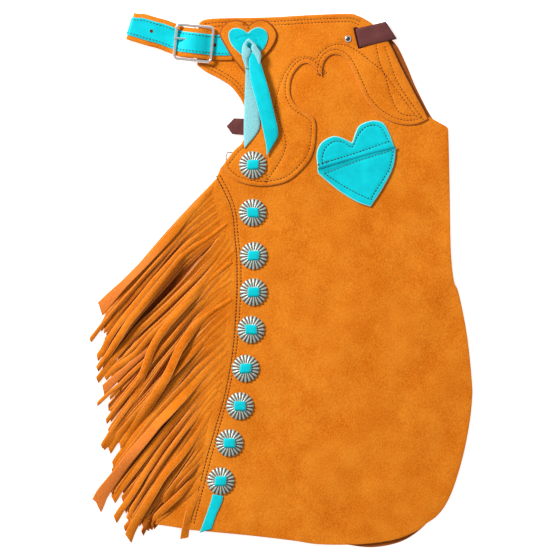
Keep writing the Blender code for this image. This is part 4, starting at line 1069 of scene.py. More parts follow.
laceEnd = ((-87.3, -275.2, -73.6, -277.6, 4.4), (-89.6, -284.4, -75.6, -286.4, 4.5),
    (-96, -303, -82.6, -302, 4.5),
    (-104, -324.8, -88.4, -319.7, 4.5))


leftTail = strip("lace_left_tail_flesh", stationsFrom(laceLeft, 2.5), 1.2,
    ("flesh", "turquoiseEdge", "turquoise"), cup=0.5)
rightTail = strip("lace_right_tail_leather", stationsFrom(laceRight, 2.5), 1.2,
    ("turquoise", "turquoiseEdge", "flesh"), cup=0.6)
knot = strip("lace_knot_flesh", stationsFrom(knotLeft, 1.5), 1.2, ("flesh", "turquoiseEdge", "flesh"),
    cup=0.9)
knotOver = strip("lace_knot_over", stationsFrom(knotRight, 1.5), 1.2, ("flesh", "turquoiseEdge", "flesh"),
    cup=0.9)
tailEnd = strip("lace_end_leather", stationsFrom(laceEnd, 2.5), 1.2,
    ("turquoise", "turquoiseEdge", "flesh"), cup=0.3)
size, area = stripCut(stationsFrom(laceLeft, 2.5))
finishPiece(leftTail, ["lace_left_tail"])
size, area = stripCut(stationsFrom(laceRight, 2.5))
finishPiece(rightTail, ["lace_right_tail"])
# narrower than a sheet may be, so it goes with the other loop
finishPiece(knotOver)  # a narrow loop without a part of its own, so it goes with the other loop
size, area = stripCut(stationsFrom(knotLeft, 1.5))
finishPiece(knot, ["lace_knot"])
finishPiece(tailEnd, ["lace_end"])


# conchos: fluted cast discs on a lace that runs through their slots

concho = {"radius": 17.8, "height": 5.2, "flutes": 20, "groove": 0.95, "scallop": 1.1, "lace": (14.6, 12.6)}


def conchoTree():
    tree = bpy.data.node_groups.new("fluted concho", "GeometryNodeTree")
    for label, kind in (("Radius", "NodeSocketFloat"), ("Height", "NodeSocketFloat"),
        ("Flutes", "NodeSocketFloat"),
                        ("Groove depth", "NodeSocketFloat"), ("Rim scallop", "NodeSocketFloat"),
                        ("Metal", "NodeSocketMaterial")):
        tree.interface.new_socket(label, in_out="INPUT", socket_type=kind)
    tree.interface.new_socket("Concho", in_out="OUTPUT", socket_type="NodeSocketGeometry")
    given = addNode(tree, "NodeGroupInput").outputs

    def maths(operation, first, second=0.0, third=0.0):
        return addNode(tree, "ShaderNodeMath", {0: first, 1: second, 2: third},
            operation=operation).outputs[0]

    grid = addNode(tree, "GeometryNodeMeshGrid",
        {"Size X": 1.0, "Size Y": 1.0, "Vertices X": 241, "Vertices Y": 22})
    place = addNode(tree, "ShaderNodeSeparateXYZ",
        {0: addNode(tree, "GeometryNodeInputPosition").outputs[0]}).outputs
    turn = maths("MULTIPLY", maths("ADD", place[0], 0.5), math.tau)
    line = maths("ADD", place[1],
        0.5)  # 0 at the middle of the face, over the rim, to 1 at the middle of the back
    outward = spread(tree, line, 0.0, 0.74)
    back = spread(tree, line, 0.86, 1.0)
    down = spread(tree, line, 0.74, 0.86)
    wave = maths("COSINE", maths("MULTIPLY", turn, given["Flutes"]))
    ridge = maths("POWER", maths("MULTIPLY_ADD", wave, 0.5, 0.5), 0.55)
    valley = maths("SUBTRACT", 1.0, ridge)
    starts = spread(tree, outward, 0.30, 0.46)
    top = maths("SUBTRACT", 1.0, down)
    cut = maths("MULTIPLY", maths("MULTIPLY", valley, starts), top)
    rim = maths("MULTIPLY", maths("MULTIPLY", valley, given["Rim scallop"]), maths("POWER", outward, 3.0))
    reach = maths("MULTIPLY", maths("SUBTRACT", maths("MULTIPLY", outward, given["Radius"]), rim),
                  maths("SUBTRACT", 1.0, back))
    dome = maths("MULTIPLY", given["Height"],
        maths("SUBTRACT", 1.0, maths("MULTIPLY", maths("POWER", outward, 3.2), 0.66)))
    tall = maths("SUBTRACT", dome, maths("MULTIPLY", cut, given["Groove depth"]))
    level = maths("MULTIPLY", tall, top)
    spot = addNode(tree, "ShaderNodeCombineXYZ", {0: maths("MULTIPLY", reach, maths("COSINE", turn)),
                                                  1: maths("MULTIPLY", reach, maths("SINE", turn)),
                                                      2: level}).outputs[0]
    shaped = addNode(tree, "GeometryNodeStoreNamedAttribute",
        {"Geometry": grid.outputs[0], "Name": "groove", "Value": cut},
                     data_type="FLOAT", domain="POINT").outputs[0]
    shaped = addNode(tree, "GeometryNodeSetPosition", {"Geometry": shaped, "Position": spot}).outputs[0]
    shaped = addNode(tree, "GeometryNodeMergeByDistance",
        {"Geometry": shaped, "Distance": 0.02 * mm}).outputs[0]
    shaped = addNode(tree, "GeometryNodeSetShadeSmooth", {"Geometry": shaped}).outputs[0]
    shaped = addNode(tree, "GeometryNodeSetMaterial",
        {"Geometry": shaped, "Material": given["Metal"]}).outputs[0]
    addNode(tree, "NodeGroupOutput", {0: shaped})
    return tree


conchoPlaces = ((-35.6, 146.2), (-35.9, 85.4), (-34.8, 30.1), (-34.8, -16.4), (-38.1, -64.5),
    (-44.9, -114.2),
    (-52.2, -162.3), (-65.5, -209.6), (-76.9, -258.3))


def seatOn(surface, x, y, radius):
    spots = np.array([(math.cos(k / 12.0 * math.tau) * radius,
        math.sin(k / 12.0 * math.tau) * radius) for k in range(12)])
    heights = surface(x + spots[:, 0], y + spots[:, 1])
    slopeX = float(np.sum(heights * spots[:, 0]) / np.sum(spots[:, 0] ** 2))
    slopeY = float(np.sum(heights * spots[:, 1]) / np.sum(spots[:, 1] ** 2))
    level = float(np.mean(heights))
    normal = Vector((-slopeX, -slopeY, 1.0)).normalized()
    return Vector((x, y, level + 0.15)), Vector((0.0, 0.0, 1.0)).rotation_difference(normal).to_matrix()


blank = bpy.data.objects.new("concho_blank", bpy.data.meshes.new("concho_blank"))
bpy.context.scene.collection.objects.link(blank)
runTree(blank, conchoTree(), {"Radius": concho["radius"] * mm, "Height": concho["height"] * mm,
                              "Flutes": float(concho["flutes"]), "Groove depth": concho["groove"] * mm,
                              "Rim scallop": concho["scallop"] * mm, "Metal": finishes["concho"]})
fixNormals(blank)
for number, (x, y) in enumerate(conchoPlaces, start=1):
    place, turn = seatOn(onYoke if number == 1 else onTopLeg, x, y, concho["radius"])
    mesh = blank.data.copy()
    spin = turn.to_4x4()
    spin.translation = Vector(((place.x + originShift[0]) * mm, (place.y + originShift[1]) * mm,
        place.z * mm))
    mesh.transform(spin)
    made = bpy.data.objects.new(f"concho_{number}_cast", mesh)
    bpy.context.scene.collection.objects.link(made)
    finishPiece(made, [f"concho_{number}"])
    width, height = concho["lace"]
    lean = 0.05 * math.sin(number * 2.3)  # each lace sits a little askew in its slots
    stations = []
    for k in range(11):
        t = k / 10.0 * 2.0 - 1.0
        drop = 1.9 * max(0.0, abs(t) - 0.72) ** 1.4 / 0.17
        centre = place + turn @ Vector((lean * t * height, t * height / 2.0,
            concho["height"] + 1.0 - drop - 0.35 * t * t))
        stations.append([centre, turn @ Vector((1.0, lean, 0.0)).normalized(),
            turn @ Vector((0.0, 0.0, 1.0)),
                         width - 0.5 * abs(t) ** 3])
    lacing = strip(f"concho_lace_{number}_leather", stations, 1.0,
        ("turquoise", "turquoiseEdge", "turquoise"), cup=0.35)
    finishPiece(lacing, [f"concho_lace_{number}"])
bpy.data.objects.remove(blank, do_unlink=True)
print("laces and conchos done")


# rivet, leg strap with its buckle, and the front tie

def makeRivet():
    place, turn = seatOn(onYoke, 86.0, 307.5, 4.4)
    rings = ((4.4, 0.0), (4.5, 0.5), (4.1, 1.0), (3.3, 1.25), (3.0, 1.0), (2.7, 1.15), (1.8, 1.75),
        (0.9, 2.0), (0.0, 2.08))
    points, faces, count = [], [], 32
    for radius, height in rings[:-1]:
        for k in range(count):
            angle = math.tau * k / count
            points.append(tuple(place + turn @ Vector((radius * math.cos(angle), radius * math.sin(angle),
                height))))
    points.append(tuple(place + turn @ Vector((0.0, 0.0, rings[-1][1]))))
    for level in range(len(rings) - 2):
        for k in range(count):
            a, b = level * count + k, level * count + (k + 1) % count
            faces.append((a, b, b + count, a + count))
    last = (len(rings) - 2) * count
    faces += [(last + k, last + (k + 1) % count, len(points) - 1) for k in range(count)]
    faces.append(tuple(reversed(range(count))))
    inner = 5 * count  # the clenched middle takes the dark nickel: painted shade
    slots = [0 if number < inner else 1 for number in range(len(faces) - 1)] + [0]
    made = plainObject("rivet_plated", points, faces, ("nickel", "shadedNickel"), slots)
    fixNormals(made)
    finishPiece(made, ["rivet"])


makeRivet()
legStrap = ((-69.6, 196.1, "corner"), (-59.9, 206.4, "corner"), (20, 203, "corner"), (20, 179.5, "corner"),
    (-62.4, 185.9, "corner"))
legBuckleTab = ((-49.8, 166.5, "corner"), (5, 168, "corner"), (5, 146, "corner"), (-49.8, 147.5, "corner"))
betweenLegs = lambda x, y: underLegBottom(x, y) + 1.9
strapPiece, _ = cutPiece("leg_strap_leather", legStrap, betweenLegs, 2.0, ("strap", "strapEdge", "strap"),
    4.0,
                         round_=1.2)
size, area = cutSize(legStrap)
finishPiece(strapPiece, ["leg_strap"])
tabPiece, _ = cutPiece("leg_buckle_tab_leather", legBuckleTab, betweenLegs, 2.0,
    ("strap", "strapEdge", "strap"), 5.0)
size, area = cutSize(legBuckleTab)
finishPiece(tabPiece, ["leg_buckle_tab"])
x, y = -60.0, 151.0
corners = [Vector((x + sx * 10.0, y + sy * 11.5, 3.5)) for sx, sy in ((-1, 1), (-1, -1), (1, -1), (1, 1))]
finishPiece(wire("leg_buckle_plated", roundedCorners(corners, 4.0), 1.25, "nickel"),
    ["leg_buckle"])

tie = {"slot": (98.8, 308.5), "width": 24.4, "turn": 13.4, "reach": (38.8, 47.6), "bottomZ": 1.0,
    "topZ": 9.6, "bend": 2.2}


def makeTie():
    turn = math.radians(tie["turn"])
    c, s = math.cos(turn), math.sin(turn)

    def at(u, v):
        return (tie["slot"][0] + u * c - v * s, tie["slot"][1] + u * s + v * c)

    loop = []
    for share, z, start in ((0.0, tie["topZ"], 180.0), (1.0, tie["topZ"], 90.0), (1.0, tie["bottomZ"], 0.0),
                            (0.0, tie["bottomZ"], 270.0)):
        inU = tie["bend"] if share == 0.0 else -tie["bend"]
        inZ = -tie["bend"] if z == tie["topZ"] else tie["bend"]
        for step in range(7):
            angle = math.radians(start - 15.0 * step)
            loop.append((share, inU + tie["bend"] * math.cos(angle),
                z + inZ + tie["bend"] * math.sin(angle)))
        if z == tie["topZ"] and share == 0.0:  # the band sags a little between the slot and the fold
            for k in range(1, 6):
                loop.append((k / 6.0, tie["bend"] * (1.0 - k / 3.0),
                    z - 0.35 * math.sin(k / 6.0 * math.pi)))
    stations = []
    spots = []
    for share, u, z in loop:
        upper = at(u + share * tie["reach"][0], tie["width"] / 2.0)
        lower = at(u + share * tie["reach"][1], -tie["width"] / 2.0)
        spots.append((Vector((*upper, z)), Vector((*lower, z))))
    count = len(spots)
    for i, (upper, lower) in enumerate(spots):
        ahead = sum(spots[(i + 1) % count], Vector()) / 2.0
        behind = sum(spots[i - 1], Vector()) / 2.0
        side = (upper - lower)
        width = side.length
        side.normalize()
        up = side.cross((ahead - behind).normalized()).normalized()
        stations.append([(upper + lower) / 2.0, side, up, width])
    if stations[count // 8][2].z < 0.0:
        for station in stations:
            station[2] = -station[2]
    made = strip("front_tie_leather", stations, 1.6, ("strap", "strapEdge", "strap"), closed=True,
        columns=8)
    finishPiece(made, ["front_tie"])


makeTie()
print("rivet, leg strap and front tie done")


# fringe: a strip sewn along the side seam, cut into strands that fan out and lie over each other

underRoots = ((-83.5, 121.7, -222, -36), (-83.5, 82, -230, -84), (-73.2, 46.2, -229, -128),
    (-68.1, 10.4, -228, -160),
    (-69.4, -25.5, -218, -186), (-70.7, -61.3, -216, -222), (-72, -97.2, -206, -256),
    (-74.5, -133, -205, -290), (-86, -163.7, -194, -316), (-93.7, -197, -181, -332),
    (-102.7, -229, -160, -328), (-109, -270, -136, -326), (-112.4, -292, -124.5, -332.5))
# fringeLook's tone darkens all traced strands a little: painted shade of the pile
fringeLook = {"wall": 1.7, "floor": 2.8, "low": 4.6, "middle": 7.4, "high": 10.4, "top": 13.2,
    "narrower": 0.80,
              "pared": 1.0, "toneAndShade": 0.89}

# one strand: layer, crown, roll towards the light, widths at root, middle and tip, tone with painted shade
# (darker for lower strands), path from the root
strands = (
    ("high", 0.4, 9, (8, 14.0, 17.0), 1.12,
        ((-89.3, 115.5), (-104.6, 97.6), (-121.3, 79.7), (-134.1, 64.3), (-146.9, 50.2), (-161, 34.9),
    (-178.9, 15.7), (-198.1, -3.5), (-213.4, -18.9), (-231.4, -38.1))),
    ("middle", 0.45, 0, (7.5, 6.4, 6), 1.0,
        ((-89.3, 104), (-103.4, 91.2), (-117.4, 75.8), (-129, 61.8), (-140.5, 47.7), (-153.3, 33.6),
    (-164.8, 20.8), (-176.3, 9.3), (-187.8, -3.5), (-198.1, -13.8), (-209.6, -26.6), (-218.6, -36.8),
    (-224.3, -46.4))),
    ("high", 0.65, 4, (7.5, 6.2, 6), 1.0,
        ((-86.7, 93.8), (-102.1, 82.2), (-116.2, 69.4), (-131.5, 52.8), (-146.9, 34.9), (-167.4, 11.8),
    (-178.9, -1), (-189.1, -12.5), (-200.6, -25.3), (-212.2, -38.1), (-223.7, -52.2), (-233.9, -65),
    (-244.2, -78.4))),
    ("middle", 0.45, -6, (7.5, 6.8, 6), 0.96,
        ((-84.2, 84.8), (-99.5, 73.3), (-114.9, 60.5), (-130.2, 46.4), (-144.3, 31), (-158.4, 13.1),
    (-169.9, -1), (-181.4, -13.8), (-193, -26.6), (-204.5, -39.4), (-214.7, -52.2), (-221.1, -62.4),
    (-226.2, -66.2))),
    ("high", 0.65, 6, (8, 9.6, 8), 1.02,
        ((-81.6, 74.6), (-97, 63), (-112.3, 50.2), (-126.4, 37.4), (-139.2, 23.4), (-152, 9.3),
            (-163.5, -3.5),
    (-175, -17.6), (-186.6, -31.7), (-196.8, -44.5), (-207, -57.3), (-216, -70.1), (-222.4, -80.3),
    (-227.5, -90.6), (-235.2, -100.8))),
    ("top", 1.35, 2, (8, 12.0, 7), 1.02,
        ((-77.8, 64.3), (-93.1, 52.8), (-108.5, 42.6), (-123.8, 31), (-136.6, 15.7), (-148.2, 1.6),
    (-159.7, -12.5), (-171.2, -26.6), (-182.7, -40.6), (-194.2, -54.7), (-203.2, -68.8), (-212.2, -82.9),
    (-221.1, -97), (-231.4, -109.8), (-235.2, -115.5))),
    ("low", 0.3, -16, (8, 9, 8), 0.86,
        ((-75.2, 54.1), (-88, 37.4), (-102.1, 22.1), (-116.2, 5.4), (-131.5, -11.2), (-146.9, -26.6),
    (-162.2, -41.9), (-176.3, -54.7), (-189.1, -68.8), (-199.4, -82.9), (-209.6, -95.7), (-221.1, -111),
    (-235.2, -129.6))),
    ("middle", 0.45, 4, (7.5, 7, 6), 1.02,
        ((-72.6, 46.4), (-84.2, 31), (-97, 15.7), (-111, 0.3), (-126.4, -13.8), (-140.5, -27.8),
            (-154.6, -40.6),
    (-168.6, -53.4), (-181.4, -65), (-193, -77.8), (-203.2, -90.6), (-214.7, -103.4))),
    ("middle", 0.45, 0, (7.5, 7.4, 6), 1.0,
        ((-68.8, 38.7), (-81.6, 22.1), (-94.4, 5.4), (-108.5, -9.9), (-123.8, -25.3), (-139.2, -40.6),
    (-154.6, -54.7), (-168.6, -67.5), (-181.4, -80.3), (-194.2, -93.1), (-207, -104.6), (-218.6, -112.3))),
    ("high", 0.65, 5, (8, 9.4, 8), 1.0,
        ((-67.5, 29.8), (-80.3, 17), (-94.4, 2.9), (-108.5, -13.8), (-121.3, -29.1), (-135.4, -43.2),
    (-149.4, -57.3), (-163.5, -70.1), (-175, -82.9), (-186.6, -95.7), (-200.6, -105.9), (-216, -116.2),
    (-225, -126.4))),
    ("middle", 0.45, 8, (8, 9.4, 12), 1.12,
        ((-68.8, 20.8), (-82.9, 4.2), (-97, -13.8), (-112.3, -30.4), (-127.7, -47), (-143, -62.4),
    (-157.1, -76.5), (-169.9, -89.3), (-184, -102.1), (-198.1, -114.9), (-213.4, -129), (-227.5, -141.8))),
    ("top", 1.35, 6, (8.5, 12.6, 11), 1.02,
        ((-71.4, 15.7), (-85.4, 4.2), (-98.2, -7.4), (-108.5, -18.9), (-118.7, -29.1), (-130.2, -41.9),
    (-141.8, -54.7), (-152, -67.5), (-161, -81.6), (-167.4, -95.7), (-172.5, -111), (-178.9, -127.7),
    (-185.3, -143), (-194.2, -163.5))),
    ("middle", 0.45, 6, (8, 6.6, 5), 1.05,
        ((-71.4, 1.6), (-85.4, -13.8), (-100.8, -31.7), (-117.4, -49.6), (-134.1, -66.2), (-150.7, -81.6),
    (-164.8, -95.7), (-178.9, -108.5), (-193, -121.3), (-207, -135.4), (-221.1, -146.9),
    (-235.2, -160.3))),
    ("high", 0.65, 4, (8, 7.6, 6), 1.0,
        ((-72.6, -7.4), (-88, -17.6), (-102.1, -31.7), (-116.2, -47), (-129, -62.4), (-141.8, -77.8),
    (-154.6, -91.8), (-166.1, -105.9), (-176.3, -121.3), (-187.8, -136.6), (-199.4, -150.7),
    (-212.2, -167.4), (-223.7, -182.7))),
    ("low", 0.3, -8, (8, 8, 8), 0.95,
        ((-72.6, -16.3), (-88, -31.7), (-104.6, -48.3), (-121.3, -65), (-136.6, -80.3), (-152, -95.7),
    (-166.1, -109.8), (-180.2, -123.8), (-194.2, -137.9), (-208.3, -152), (-221.1, -164.8))),
    ("middle", 0.45, 2, (8, 7.0, 6), 1.0,
        ((-72.6, -22.7), (-86.7, -33), (-100.8, -47), (-113.6, -59.8), (-125.1, -72.6), (-136.6, -86.7),
    (-148.2, -100.8), (-159.7, -114.9), (-169.9, -129), (-180.2, -143), (-191.7, -158.4),
    (-203.2, -173.8), (-216, -193), (-229.4, -214.7))),
    ("top", 1.35, 4, (9, 15.0, 11), 1.02,
        ((-72.6, -31.7), (-86.7, -40.6), (-99.5, -50.9), (-111, -62.4), (-121.3, -76.5), (-130.2, -90.6),
    (-136.6, -104.6), (-143, -118.7), (-150.7, -132.8), (-159.7, -146.9), (-167.4, -159.7),
    (-176.3, -172.5), (-185.3, -185.3), (-194.2, -198.1), (-204.5, -213.4))),
    ("low", 0.3, -20, (8, 11, 11), 0.80,
        ((-72.6, -41.9), (-86.7, -56), (-100.8, -71.4), (-114.9, -86.7), (-127.7, -100.8), (-140.5, -114.9),
    (-153.3, -129), (-166.1, -143), (-178.9, -157.1), (-191.7, -171.2), (-204.5, -186.6),
    (-217.3, -203.2), (-227.5, -213.4))),
    ("high", 0.65, 3, (8, 11, 10), 1.0,
        ((-72.6, -52.2), (-86.7, -65), (-100.8, -80.3), (-114.9, -95.7), (-129, -111), (-143, -126.4),
    (-157.1, -141.8), (-171.2, -158.4), (-185.3, -173.8), (-198.1, -189.1), (-210.9, -204.5),
    (-219.8, -218.6))),
    ("low", 0.3, -8, (8, 9, 8), 0.92,
        ((-73.9, -62.4), (-86.7, -75.2), (-99.5, -89.3), (-113.6, -104.6), (-126.4, -120), (-139.2, -136.6),
    (-150.7, -152), (-162.2, -167.4), (-173.8, -182.7), (-185.3, -198.1), (-196.8, -209.6),
    (-205.8, -216))),
    ("middle", 0.45, 3, (9, 13, 10), 1.0,
        ((-73.9, -73.9), (-89.3, -85.4), (-104.6, -98.2), (-118.7, -112.3), (-131.5, -129),
            (-144.3, -144.3),
    (-155.8, -159.7), (-168.6, -177.6), (-181.4, -195.5), (-194.2, -212.2), (-205.8, -226.2),
    (-214.7, -240.3))),
    ("middle", 0.45, -3, (9, 9, 8), 0.97,
        ((-75.2, -85.4), (-89.3, -99.5), (-103.4, -112.3), (-116.2, -126.4), (-129, -140.5),
            (-141.8, -154.6),
    (-154.6, -168.6), (-167.4, -184), (-178.9, -199.4), (-190.4, -214.7), (-203.2, -231.4), (-216, -248))),
    ("high", 0.5, 8, (10, 16.4, 18), 1.12,
        ((-75.2, -98.2), (-89.3, -112.3), (-104.6, -127.7), (-118.7, -143), (-131.5, -157.1),
            (-144.3, -171.2),
    (-157.1, -184), (-168.6, -198.1), (-180.2, -212.2), (-193, -227.5), (-205.8, -244.2),
    (-217.3, -259.5), (-228.8, -274.9), (-235.2, -289))),
    ("middle", 0.45, 2, (9, 12.4, 10), 1.0,
        ((-77.8, -113.6), (-91.8, -129), (-105.9, -144.3), (-118.7, -159.7), (-131.5, -175),
            (-144.3, -190.4),
    (-157.1, -205.8), (-169.9, -221.1), (-182.7, -237.8), (-195.5, -254.4), (-207, -269.8),
    (-214.7, -282.6))),
    ("low", 0.3, -14, (9, 9, 8), 0.82,
        ((-80.3, -126.4), (-94.4, -143), (-108.5, -159.7), (-122.6, -177.6), (-136.6, -195.5),
            (-150.7, -213.4),
    (-164.8, -232.6), (-177.6, -250.6), (-190.4, -267.2), (-203.2, -282.6))),
    ("middle", 0.45, 2, (8.5, 9.6, 9), 1.0,
        ((-84.2, -137.9), (-95.7, -149.4), (-107.2, -162.2), (-118.7, -175), (-130.2, -189.1),
            (-141.8, -203.2),
    (-153.3, -218.6), (-164.8, -235.2), (-175, -250.6), (-184, -265.9), (-194.2, -281.3),
    (-204.5, -295.4), (-212.2, -308.2))),
    ("high", 0.65, 5, (8, 7.0, 7), 1.03,
        ((-88, -149.4), (-99.5, -163.5), (-109.8, -177.6), (-121.3, -191.7), (-132.8, -207), (-143, -221.1),
    (-153.3, -236.5), (-162.2, -250.6), (-172.5, -265.9), (-181.4, -280), (-190.4, -294.1),
    (-195.5, -308.2))),
    ("middle", 0.45, -2, (8, 7.6, 7), 0.98,
        ((-91.8, -162.2), (-100.8, -175), (-111, -189.1), (-121.3, -203.2), (-131.5, -217.3),
            (-141.8, -232.6),
    (-152, -248), (-161, -263.4), (-171.2, -278.7), (-181.4, -294.1), (-191.7, -309.4), (-200.6, -319.7))),
    ("high", 0.65, 3, (9, 13.2, 12), 1.0,
        ((-94.4, -176.3), (-104.6, -193), (-116.2, -209.6), (-131.5, -230.1), (-143, -242.9),
            (-153.3, -257),
    (-161, -269.8), (-168.6, -282.6), (-176.3, -295.4), (-184, -308.2), (-191.7, -322.2),
    (-195.5, -332.5))),
    ("low", 0.3, -16, (9, 8, 8), 0.78,
        ((-98.2, -191.7), (-107.2, -205.8), (-116.2, -219.8), (-126.4, -235.2), (-137.9, -251.8),
    (-149.4, -268.5), (-159.7, -285.1), (-168.6, -300.5), (-176.3, -317.1))),
    ("low", 0.3, -14, (9, 9, 8), 0.84,
        ((-100.8, -207), (-109.8, -221.1), (-120, -236.5), (-131.5, -253.1), (-143, -268.5),
            (-153.3, -283.8),
    (-163.5, -297.9), (-171.2, -308.2))),
    ("middle", 0.45, -4, (9, 10, 9), 0.97,
        ((-102.1, -222.4), (-113.6, -236.5), (-125.1, -250.6), (-136.6, -264.6), (-146.9, -278.7),
    (-154.6, -291.5))),
    ("low", 0.3, -10, (9, 9, 8), 0.90,
        ((-104.6, -236.5), (-116.2, -250.6), (-129, -264.6), (-140.5, -278.7), (-152, -290.2))),
    ("middle", 0.45, 0, (9, 11, 9), 1.0,
        ((-107.2, -250.6), (-120, -265.9), (-134.1, -280), (-146.9, -291.5), (-158.4, -303),
            (-166.1, -313.3))),
    ("low", 0.3, 0, (10, 10, 8), 0.96,
        ((-109.8, -265.9), (-123.8, -280), (-137.9, -291.5), (-152, -303), (-162.2, -312))),
    ("low", 0.3, 0, (11, 12.5, 11), 1.0,
        ((-111, -280), (-116.2, -295.4), (-120, -309.4), (-123.8, -331.8))),
)
# a few wide dark strands of the under fringe: their low tone is painted shade
underBundle = (
    ("low", 0.3, -12, (10, 12, 9), 0.36,
        ((-103.4, -205.8), (-122.6, -235.2), (-144.3, -267.2), (-161, -292.8), (-172.5, -319.7))),
    ("low", 0.3, -12, (10, 12, 8), 0.34,
        ((-105.9, -225), (-126.4, -254.4), (-146.9, -282.6), (-159.7, -301.8), (-167.4, -318.4))),
    ("low", 0.3, -12, (8, 8, 6), 0.42,
        ((-108.5, -216), (-131.5, -251.8), (-152, -282.6), (-168.6, -308.2), (-177.6, -326.1))),
)


def strandStations(path, widths, heights, lean, step=5.6):
    line = smoothPath(path, step, False)
    count = len(line)
    shares = np.linspace(0.0, 1.0, count)
    width = np.interp(shares, widths[0], widths[1])
    z = np.zeros(count)
    for (start, low), (end, high) in zip(heights, heights[1:]):
        share = np.clip((shares - start) / (end - start), 0.0, 1.0)
        within = (shares >= start) & (shares <= end)
        z[within] = (low + (high - low) * share * share * (3.0 - 2.0 * share))[within]
    stations = []
    for i in range(count):
        ahead, behind = min(i + 1, count - 1), max(i - 1, 0)
        tangent = Vector((*(line[ahead] - line[behind]), z[ahead] - z[behind])).normalized()
        side = tangent.cross(Vector((0.0, 0.0, 1.0))).normalized()
        up = side.cross(tangent).normalized()
        c, s = math.cos(lean(shares[i])), math.sin(lean(shares[i]))
        stations.append([Vector((*line[i], z[i])), side * c + up * s, up * c - side * s, float(width[i])])
    return stations


def leanOf(roll, draw):
    sway, start, turns = draw.uniform(9.0, 24.0), draw.uniform(0.0, math.tau), draw.uniform(4.0, 9.0)

    def lean(share):
        free = min(1.0, share * 2.5, (1.0 - share) * 3.0 + 0.3)
        return -math.radians(roll + sway * math.sin(share * turns + start)) * free

    return lean


def makeFringe(name, bundle, bottomOf, levels, seed):
    draw = random.Random(seed)
    points, faces, slots, tonesAndShades = [], [], [], []
    area, longest, abreast = 0.0, 0.0, 0.0  # of the strip that the strands are cut from
    lowest = 0.3  # strands lie on the table and don't sink into it
    for layer, crown, roll, widths, toneAndShade, path in bundle:
        start, second = np.array(path[0]), np.array(path[1])
        back = (start - second) / np.linalg.norm(start - second) * 11.0
        rows = [tuple(start + back), *path]
        base = float(bottomOf(start[:1], start[1:])[0]) + 0.78
        level = levels[layer] + draw.uniform(-0.3, 0.3)
        tip = min(level, draw.uniform(1.6, 3.2))
        heights = ((0.0, base - 0.35), (0.06, base), (0.14, base + 0.1), (0.46, max(base + 0.1, level)),
                   (0.68, level), (1.0, tip))
        narrow = widths[1] * fringeLook["narrower"]
        stations = strandStations(rows,
            ((0.0, 0.09, 0.34, 0.8, 1.0), (widths[0], widths[0], narrow, narrow, widths[2])),
                                  heights, leanOf(roll, draw))
        fall = np.array(path[-1]) - np.array(path[-2])
        steps = [(b[0] - a[0]).length for a, b in zip(stations, stations[1:])]
        area += sum(length * station[3] for length, station in zip(steps, stations))
        longest = max(longest, sum(steps))
        abreast += max(station[3] for station in stations)
        slant = draw.uniform(0.45, 1.0) if abs(fall[0]) > 0.35 * abs(fall[1]) else -0.4  # slanting cuts
        last = stations[-1]
        ahead = last[1].cross(last[2])
        last[1] = (last[1] + ahead * slant)
        last[3] *= 0.94
        # the upright side walls of each strand take the dark 'inside' finish, so that the gaps between strands
        # read darker: painted shade
        strandPoints, strandFaces, strandSlots, _ = stripMesh(stations, fringeLook["wall"], cup=crown,
            columns=4, roundness=0.12,
                                                               pared=fringeLook["pared"], side=2)
        offset = len(points)
        points += [(p[0], p[1], max(p[2], lowest + 0.04 * (k % 7))) for k, p in enumerate(strandPoints)]
        faces += [tuple(offset + i for i in face) for face in strandFaces]
        slots += strandSlots
        # a strand's tone: its layer's darkness is painted shade, with a small random difference; tones above 1.1
        # mark a strand turned flesh side up
        shade = toneAndShade if toneAndShade > 1.1 else toneAndShade * fringeLook["toneAndShade"] * draw.uniform(0.96, 1.03)
        ring = len(strandPoints) // len(stations)
        for number in range(len(stations)):  # the roots take the band's colour
            share = number / len(stations)
            free = min(1.0, 3.2 * share) if toneAndShade < 1.1 else min(1.0, max(0.0, 3.0 * share - 0.9))
            tonesAndShades += [1.0 - free + shade * free] * ring
    made = plainObject(name, points, faces, ("fringe", "fringeEdge", "inside"), slots)
    toneAndShade = made.data.attributes.new("toneAndShade", "FLOAT", "POINT")
    toneAndShade.data.foreach_set("value", tonesAndShades)
    fixNormals(made)
    made.data.set_sharp_from_angle(angle=math.radians(24.0))
    return made, (longest * mm, abreast * mm), area * mm * mm


def between(rows, place):
    index = min(max(int(place), 0), len(rows) - 2)
    share = place - index
    return np.array(rows[index]) * (1.0 - share) + np.array(rows[index + 1]) * share


underLevels = {"low": 1.3, "middle": 2.0, "high": 2.8, "top": 3.2}
draw = random.Random(12)
spare = []
for number in range(60):  # the other leg's fringe shows in the gaps alone; its dark tone is painted shade
    place = number / 60.0 * (len(underRoots) - 1)
    row = between(underRoots, place)
    root, tip = row[:2], row[2:] + np.array((draw.uniform(-4, 4), draw.uniform(-4, 4)))
    tip = root + (tip - root) * 0.86
    if tip[0] > -158.0 and tip[1] < -304.0:
        continue
    bow = np.array((tip[1] - root[1], root[0] - tip[0])) * draw.uniform(-0.035, 0.035)
    spare.append((("low", "middle", "high")[number % 3], 0.6, -8, (9.0, 12.0, 9.0), draw.uniform(0.2, 0.34),
                  (tuple(root), tuple(root * 0.66 + tip * 0.34 + bow),
                      tuple(root * 0.33 + tip * 0.67 + bow), tuple(tip))))


def halfway(first, second, share):  # a strand's path between two traced ones
    a, b = (evenSteps(smoothPath(path, 5.0, False), 5.0) for path in (first, second))
    t = np.linspace(0.0, 1.0, 9)
    rows = [np.stack([np.interp(t, np.linspace(0.0, 1.0, len(c)), c[:, k]) for k in (0, 1)], 1) for c in (a,
        b)]
    rows = rows[0] * (1.0 - share) + rows[1] * share
    return tuple(tuple(row) for row in evenSteps(rows, 12.0)[:-1])


